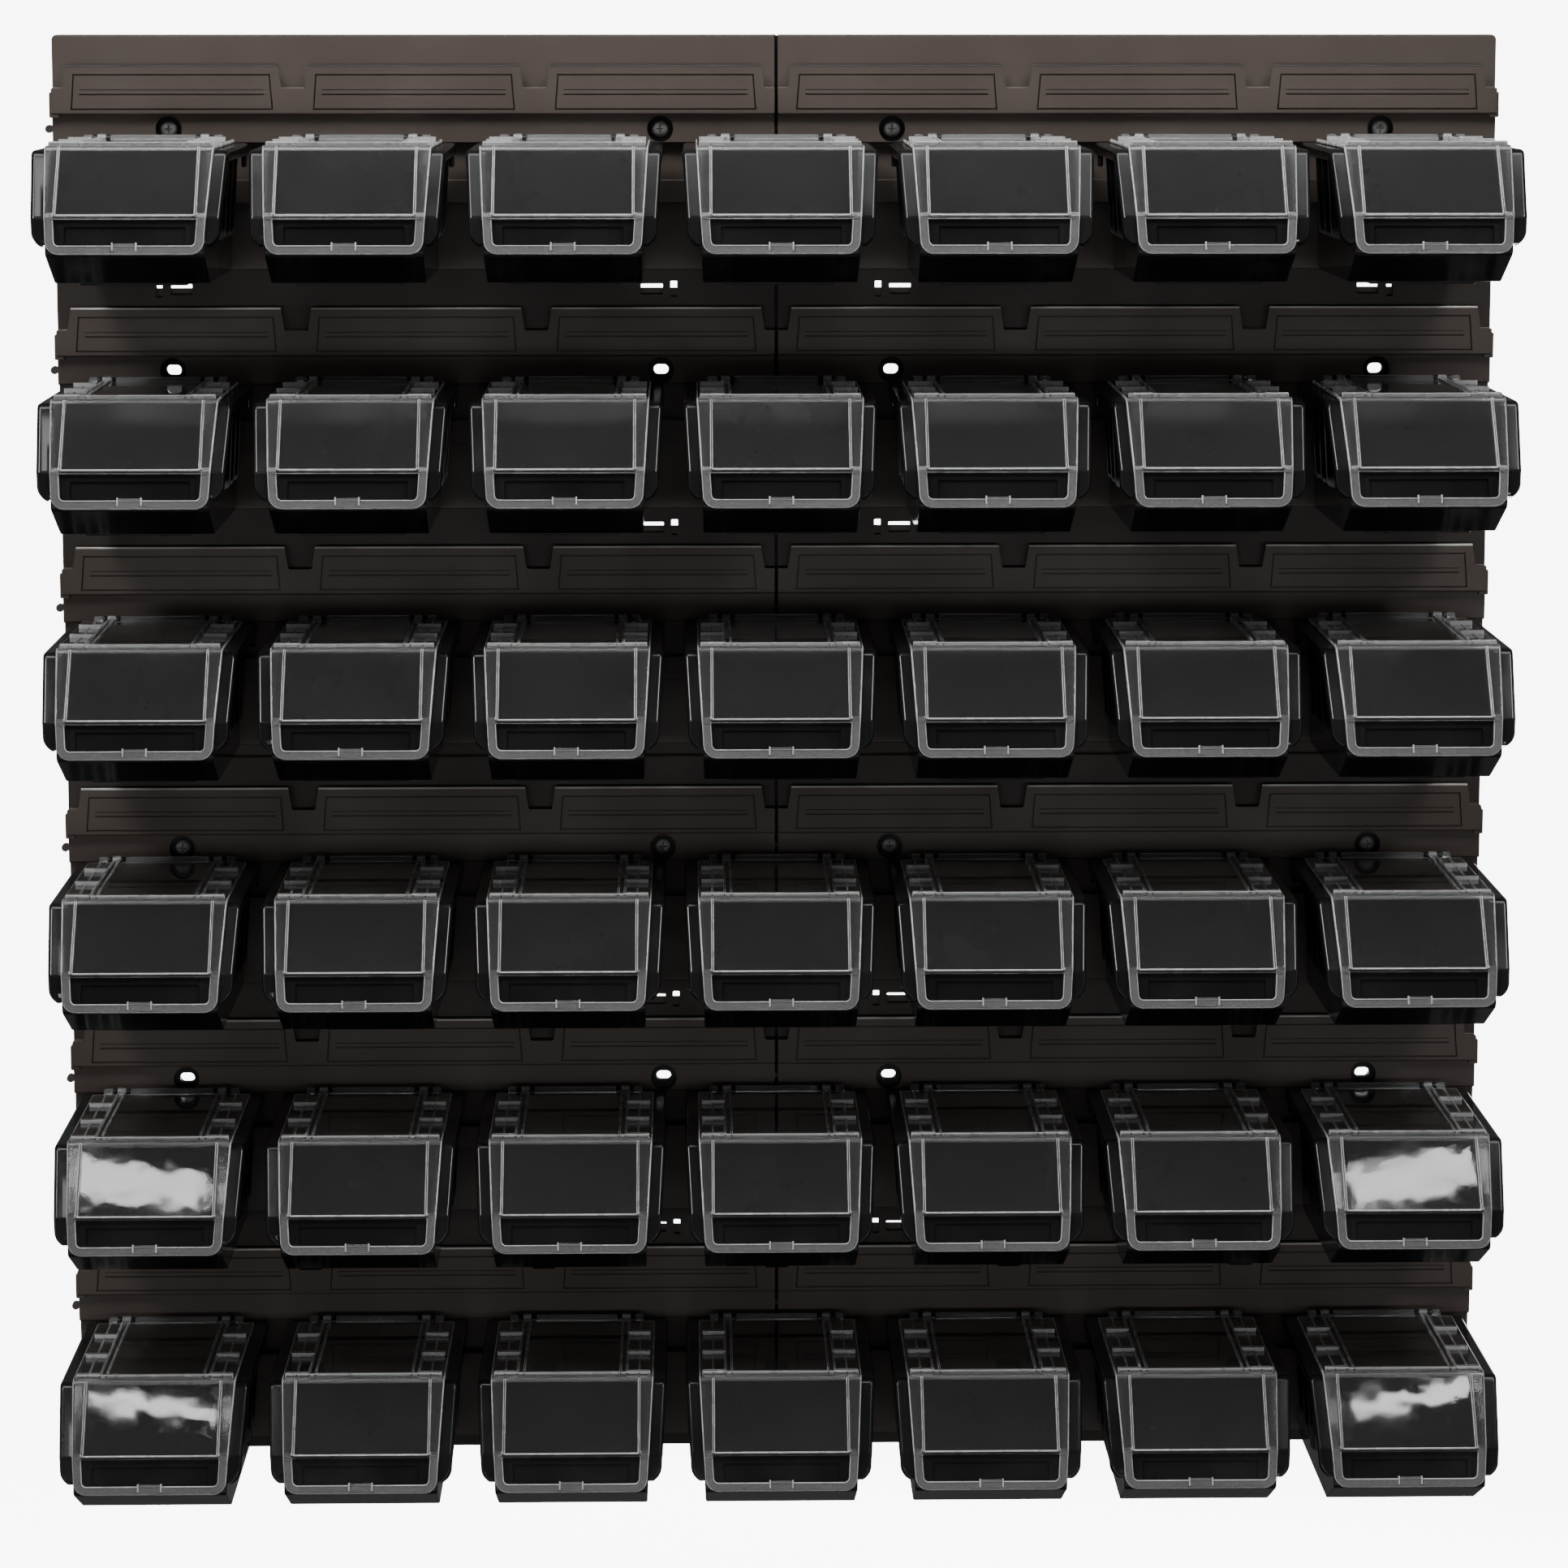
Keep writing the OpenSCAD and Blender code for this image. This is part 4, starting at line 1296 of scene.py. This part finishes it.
def strip_grooves():
    """Engraved frame and two engraved lines on each section of a strip."""
    g, top, low = GROOVE_W, GROOVE_TOP, GROOVE_LOW
    half_top, half_low = GROOVE_HALF_TOP, GROOVE_HALF_LOW
    bars = [
        rectangle((-half_top, top - g), (half_top, top)),
        rectangle((-half_low, low), (half_low, low + g)),
        rectangle((-LINE_HALF, LINE_Z), (LINE_HALF, LINE_Z + g)),
        rectangle((-LINE_HALF, FINE_LINE_Z), (LINE_HALF, FINE_LINE_Z + g / 2)),
    ]
    leaning = [(half_low, low), (half_low - g, low), (half_top - g, top), (half_top, top)]
    bars += [[(s * x, z) for x, z in leaning] for s in SIDES]
    step = (SECTION_W, 0, 0)
    made = []
    for bar in bars:
        for z in drops:
            one = as_object("groove", outward(bar, STRIP_D - GROOVE_CUT, STRIP_D + OVER))
            # The grooves' cut faces take the floor's painted shade
            made.append(spread("grooves", one, SECTIONS, (-SECTION_W, 0, -z), step, panel_painted_shade))
    return made


SEAT_R = 7.0
SEAT_FLOOR = 5.0
VENT_H = 5.8
VENT_D = 1.5
VENT_GAP = 2.4
VENT_MORE = 1.4
SEAT_STEPS = 40
BOSS_WALL = 2
BOSS_ROUND = 0.6
SLOT_HALF_L = 4
SLOT_HALF_H = 2.75
SLOT_R = 2.7
CUT_BACK = -2
VENT_DROP = 82.8
VENT_R = 0.5
VENT_WALL = 1.2
VENT_BOX_BACK = 0.3
VENT_BOX_SPAN = (-12, 10)
# Middle, half width and extra height of the wide and the narrow opening
VENTS = ((-4.8, 5.9, 0), (7, 1.8, VENT_MORE))


def round_seat(x, z, r):
    return [p + Vector((x, z)) for p in disc((0, 0), r, SEAT_STEPS)]


def fixing_bosses():
    """Round bosses behind the slots' seats."""
    outlines = [round_seat(s * SLOT_X, -z, SEAT_R + BOSS_WALL) for z in SLOT_DROPS for s in SIDES]
    return [softened(outward(outline, 0, BAND_D - LAP), BOSS_ROUND) for outline in outlines]


def vent_cuts(x, side, high):
    """A wide and a narrow opening beside each other, and the gaps at the tops of their backs."""
    made = []
    for shift, half, more in VENTS:
        low_x, high_x = x + side * shift - half, x + side * shift + half
        low, top = high - VENT_H - more, high + more
        made.append(outward(rounded(rectangle((low_x, low), (high_x, top)), VENT_R), VENT_D, STRIP_D))
        made.append(outward(rectangle((low_x, high - VENT_GAP), (high_x, top)), CUT_BACK, VENT_D + OVER))
    return made


def fixing_cuts():
    """Round seats, oval slots and the small square openings under the bins."""
    made = []
    for z in SLOT_DROPS:
        for s in SIDES:
            x = s * SLOT_X
            seat = outward(round_seat(x, -z, SEAT_R), SEAT_FLOOR, STRIP_D + 2 * FAR_OVER)
            low, high = (x - SLOT_HALF_L, -z - SLOT_HALF_H), (x + SLOT_HALF_L, -z + SLOT_HALF_H)
            slot = outward(rounded(rectangle(low, high), SLOT_R, steps=8), CUT_BACK, SEAT_FLOOR + OVER)
            # The seats' cut faces take the near-black painted shade
            made += [with_finish(seat, BLACK_SHADE), slot, *vent_cuts(x, s, -z - VENT_DROP)]
    return made


def vent_backs():
    """Low boxes behind the square openings, open at the tops of their backs."""
    made = []
    for z in SLOT_DROPS:
        high = -z - VENT_DROP
        low_z, high_z = high - VENT_H - VENT_MORE - VENT_WALL, high + VENT_MORE + VENT_WALL
        for s in SIDES:
            low_x, high_x = sorted(s * SLOT_X + s * end for end in VENT_BOX_SPAN)
            made.append(block((low_x, VENT_BOX_BACK, low_z), (high_x, BASE_D - LAP, high_z)))
    return made


LUG_R = 2.2
LUG_REACH = 4.4
LUG_D = 6.2
LUG_BACK = 2.0
LUG_NECK_HALF = 1.2
LUG_ROOT = 5
LUG_STEPS = 16
LUG_PLAY = 0.3
LUG_ROUND = 0.35


def lug_outline(play):
    """Mushroom that points to -x from x = 0, grown by play."""
    centre = -LUG_REACH + LUG_R
    half, r = LUG_NECK_HALF + play, LUG_R + play
    bend = math.asin(half / r)
    turns = [bend + (2 * math.pi - 2 * bend) * k / LUG_STEPS for k in range(LUG_STEPS + 1)]
    head = [(centre + r * math.cos(a), r * math.sin(a)) for a in turns]
    return [*head, (LUG_ROOT, -half), (LUG_ROOT, half)]


def lugs():
    """Locking lugs on the left edge."""
    outlines = [[(x - BODY_W / 2, y - z) for x, y in lug_outline(0)] for z in drops]
    return [softened(outward(outline, LUG_BACK, LUG_D), LUG_ROUND) for outline in outlines]


def socket_blocks():
    """Solid blocks for the sockets at the right edge."""
    half = LUG_R + LUG_PLAY + SKIN
    low_x, high_x = BODY_W / 2 - LUG_REACH - LUG_PLAY - SKIN, BODY_W / 2 - LAP
    return [block((low_x, 0, -z - half), (high_x, BAND_D - LAP, -z + half)) for z in drops]


def lug_sockets():
    """Room for the lugs of the panel on the right."""
    outline = [(x + BODY_W / 2 + PANEL_GAP, y) for x, y in lug_outline(LUG_PLAY)]
    back, front = LUG_BACK - LUG_PLAY, LUG_D + LUG_PLAY
    return [outward([(x, y - z) for x, y in outline], back, front) for z in drops]


CORNER_R = 3.0
SEAM_CORNER_R = 0.4


def panel(column, row):
    """One panel; column and row tell which of its edges meet a neighbour."""
    left, top = column == 0, row == 0
    outer = [left and not top, not left and not top, not left and top, left and top]
    radii = [CORNER_R if is_outer else SEAM_CORNER_R for is_outer in outer]
    edge = rounded(rectangle((-BODY_W / 2, PANEL_LOW), (BODY_W / 2, 0)), radii, steps=6)
    body = combined(
        "panel_body",
        [panel_skin(top), *panel_walls(), *fixing_bosses(), *vent_backs(), *socket_blocks()],
        cuts=seam_grooves(left),
        keep=outward(edge, -FAR_OVER, STRIP_D + FAR_OVER),
        materials=PANEL_FINISHES,
    )
    added = [*lugs(), *seam_tongues(left, top), *strip_end_tabs(-1 if left else 1)]
    cuts = [*lip_notches(), *fixing_cuts(), *lug_sockets(), *strip_grooves()]
    cuts += seam_rebates(not left, not top)
    return combined("panel", [body, *added], cuts, materials=PANEL_FINISHES)


# Wall screws

# Side line of the screw as (radius, d), from its point to the top of its head
SCREW_PROFILE = (
    (0.2, -34.0),
    (2.1, -30.0),
    (2.1, -6.0),
    (1.8, -5.6),
    (1.8, 0.0),
    (4.5, 0.0),
    (4.6, 0.4),
    (4.45, 1.3),
    (3.9, 2.15),
    (2.9, 2.75),
    (1.5, 3.0),
    (0.4, 3.05),
)
SCREW_STEPS = 32
DRIVE_HALF_L = 2.3
DRIVE_HALF_T = 0.5
DRIVE_FOOT = 0.55
DRIVE_LOW_D = 1.3
DRIVE_TOP_D = 3.4


def screw():
    """A pan-head screw with a cross drive; its head sits on d = 0 and its point lies behind."""
    turns = [2 * math.pi * k / SCREW_STEPS for k in range(SCREW_STEPS)]
    body = skin([[(r * math.cos(a), d, r * math.sin(a)) for a in turns] for r, d in SCREW_PROFILE])
    arms = []
    for wide, tall in ((DRIVE_HALF_L, DRIVE_HALF_T), (DRIVE_HALF_T, DRIVE_HALF_L)):
        mouth = rectangle((-wide, -tall), (wide, tall))
        foot = [(x * DRIVE_FOOT, z * DRIVE_FOOT) for x, z in mouth]
        ends = ((foot, DRIVE_LOW_D), (mouth, DRIVE_TOP_D))
        arms.append(skin([[(x, d, z) for x, z in outline] for outline, d in ends]))
    return combined("screw", [body], arms)


THREAD_TURNS = 13
THREAD_STEPS = 20
THREAD_PITCH = 1.8
THREAD_START_D = -6.4
THREAD_SECTION = ((1.7, -0.45), (2.05, -0.25), (2.1, 0.0), (2.05, 0.25), (1.7, 0.45))


def screw_thread():
    """The thread's ridge, wound round the shank behind the wall's face."""
    rings = []
    for k in range(THREAD_TURNS * THREAD_STEPS + 1):
        a = 2 * math.pi * k / THREAD_STEPS
        d = THREAD_START_D - THREAD_PITCH * k / THREAD_STEPS
        rings.append([(r * math.cos(a), d + h, r * math.sin(a)) for r, h in THREAD_SECTION])
    return skin(rings)


# Placing

SHARP_ANGLE = math.radians(38)


def shaded(thing):
    """The object's mesh, smooth over its rounded edges and flat on its faces."""
    thing.data.shade_smooth()
    thing.data.set_sharp_from_angle(angle=SHARP_ANGLE)
    weighed = thing.modifiers.new("weighed", "WEIGHTED_NORMAL")
    weighed.keep_sharp = True
    mesh = plain_mesh(thing)
    drop(thing)
    return mesh


def finished(name, mesh, place, finishes, body, node):
    """A piece in metres at its place, riding on its body in place of its CAD node."""
    mesh.transform(Matrix.Translation(Vector((place[0], -place[1], place[2]))))
    mesh.transform(Matrix.Scale(MM, 4))
    piece = dressed(bpy.data.objects.new(name, mesh), finishes)
    bpy.context.scene.collection.objects.link(piece)
    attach(piece, body)
    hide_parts(node)


def place_lids():
    mesh = shaded(lid())
    for r, line in enumerate(row_lines, 1):
        for c, x in enumerate(column_xs, 1):
            name = f"lid_r{r}_c{c}"
            finished(f"clear_{name}", mesh.copy(), (x, 0, line), LID_FINISHES, name, name)


def place_bins():
    model = storage_bin()
    start, step = (column_xs[0], 0, 0), (BIN_PITCH, 0, 0)
    for r, line in enumerate(row_lines, 1):
        row = spread("row", model, COLUMNS, start, step, bin_plastic, keep_piece=True)
        node, body = f"bins_row_{r}", f"bin_row_{r}"
        finished(f"black_{node}", shaded(row), (0, 0, line), [bin_plastic], body, node)
    drop(model)


def place_panels():
    for j, level in enumerate(("upper", "lower")):
        for i, side in enumerate(("left", "right")):
            mesh = shaded(panel(i, j))
            place = ((i - 0.5) * PANEL_W, 0, row_lines[j * PANEL_ROWS] + FIRST_DROP)
            node = f"panel_{level}_{side}"
            finished(f"ribbed_{node}", mesh, place, PANEL_FINISHES, "wall_frame", node)


def place_screws():
    one = screw()
    thread = as_object("thread", screw_thread())
    step = (2 * SLOT_X, 0, 0)
    groups = []
    for piece in (one, thread):
        for top_row in (0, PANEL_ROWS):
            for s in SIDES:
                start = (s * PANEL_W / 2 - SLOT_X, SEAT_FLOOR, row_lines[top_row])
                groups.append(spread("pair", piece, 2, start, step, screw_zinc, keep_piece=True))
    whole = bmesh.new()
    for pair in groups:
        whole.from_mesh(pair.data)
    drop(one, thread, *groups)
    mesh = shaded(as_object("screws", whole))
    finished("zinc_wall_screws", mesh, (0, 0, 0), [screw_zinc], "wall_frame", "wall_screws")


place_panels()
place_screws()
place_bins()
place_lids()


# Camera, light and stage


def aim(thing, place, target):
    """Puts a camera or lamp in the scene, turned towards the target."""
    thing.location = place
    thing.rotation_euler = (Vector(target) - Vector(place)).to_track_quat("-Z", "Y").to_euler()
    bpy.context.scene.collection.objects.link(thing)


view = bpy.data.cameras.new("photo_view")
view.sensor_width = 36
view.lens = 104.2
view.shift_y = -0.09
camera = bpy.data.objects.new("photo_view", view)
aim(camera, place=(-0.045, -2.45, 0.41), target=(0.0044, 0, 0.0608))
bpy.context.scene.camera = camera


def soft_light(name, place, target, size, power, spread_deg=180):
    """A wide lamp that the camera doesn't see."""
    lamp = bpy.data.lights.new(name, "AREA")
    lamp.shape = "RECTANGLE"
    lamp.size, lamp.size_y = size
    lamp.energy = power
    lamp.spread = math.radians(spread_deg)
    holder = bpy.data.objects.new(name, lamp)
    holder.visible_camera = False
    aim(holder, place, target)


soft_light("left_light", (-1.75, -1.6, 3.0), (0, 0, 0.5), size=(0.9, 1.2), power=6.9, spread_deg=50)
soft_light("right_light", (1.75, -1.6, 3.0), (0, 0, 0.5), size=(0.9, 1.2), power=5.1, spread_deg=50)
soft_light("fill_light", (0, -3.2, -0.15), (0, 0, 0.1), size=(5.0, 0.3), power=14)
soft_light("low_light", (0, -1.9, -1.15), (0, -0.1, -0.1), size=(2.4, 0.3), power=2.0)
soft_light("ceiling_light", (0, -0.325, 1.5), (0, -0.25, 0.3), size=(2.0, 0.46), power=15.5)
soft_light("left_side_light", (-3.0, -0.6, 0.1), (0, -0.1, 0), size=(2.0, 1.6), power=5)
soft_light("right_side_light", (3.0, -0.6, 0.1), (0, -0.1, 0), size=(2.0, 1.6), power=5)
soft_light("back_light", (0.6, 2.6, -0.65), (0, 0, 0), size=(2.0, 1.0), power=30)
soft_light("left_pane", (-0.66, -1.63, 2.018), (-0.33, -0.14, -0.2), size=(0.14, 0.044), power=0.26)
soft_light("right_pane", (0.755, -1.63, 2.018), (0.33, -0.14, -0.2), size=(0.14, 0.044), power=0.26)
soft_light("left_low_pane", (-0.63, -1.63, 1.69), (-0.33, -0.14, -0.33), size=(0.13, 0.02), power=0.12)
soft_light("right_low_pane", (0.72, -1.63, 1.69), (0.33, -0.14, -0.33), size=(0.13, 0.02), power=0.12)


WHITE_OUT = 8
ROOM_FILL = 0.08


def pale_room():
    """White for the camera, dim grey for everything that reflects it."""
    room = bpy.data.worlds.new("pale_room")
    room.use_nodes = True
    nodes, links = room.node_tree.nodes, room.node_tree.links
    backdrop = nodes["Background"]
    backdrop.inputs["Color"].default_value = (1, 1, 1, 1)
    backdrop.inputs["Strength"].default_value = WHITE_OUT
    fill = nodes.new("ShaderNodeBackground")
    fill.inputs["Color"].default_value = (1, 1, 1, 1)
    fill.inputs["Strength"].default_value = ROOM_FILL
    ray = nodes.new("ShaderNodeLightPath")
    choice = nodes.new("ShaderNodeMixShader")
    links.new(ray.outputs["Is Camera Ray"], choice.inputs["Fac"])
    links.new(fill.outputs["Background"], choice.inputs[1])
    links.new(backdrop.outputs["Background"], choice.inputs[2])
    links.new(choice.outputs["Shader"], nodes["World Output"].inputs["Surface"])
    bpy.context.scene.world = room


pale_room()


STAGE_HALF = 6.0
STAGE_Z = -1.25


def pale_floor():
    """A plain floor well below the rack, as under a wall."""
    made = bmesh.new()
    corners = rectangle((-STAGE_HALF, -STAGE_HALF), (STAGE_HALF, STAGE_HALF))
    made.faces.new([made.verts.new((x, y, STAGE_Z)) for x, y in corners])
    finish = bpy.data.materials.new("pale_floor")
    finish.use_nodes = True
    shader = finish.node_tree.nodes["Principled BSDF"]
    shader.inputs["Base Color"].default_value = (0.9, 0.9, 0.9, 1)
    shader.inputs["Roughness"].default_value = 0.9
    shader.inputs["Emission Color"].default_value = (1, 1, 1, 1)
    shader.inputs["Emission Strength"].default_value = WHITE_OUT
    floor = as_object("pale_floor", made, [finish])
    floor.visible_glossy = False
    floor.visible_diffuse = False
    floor.visible_transmission = False


pale_floor()
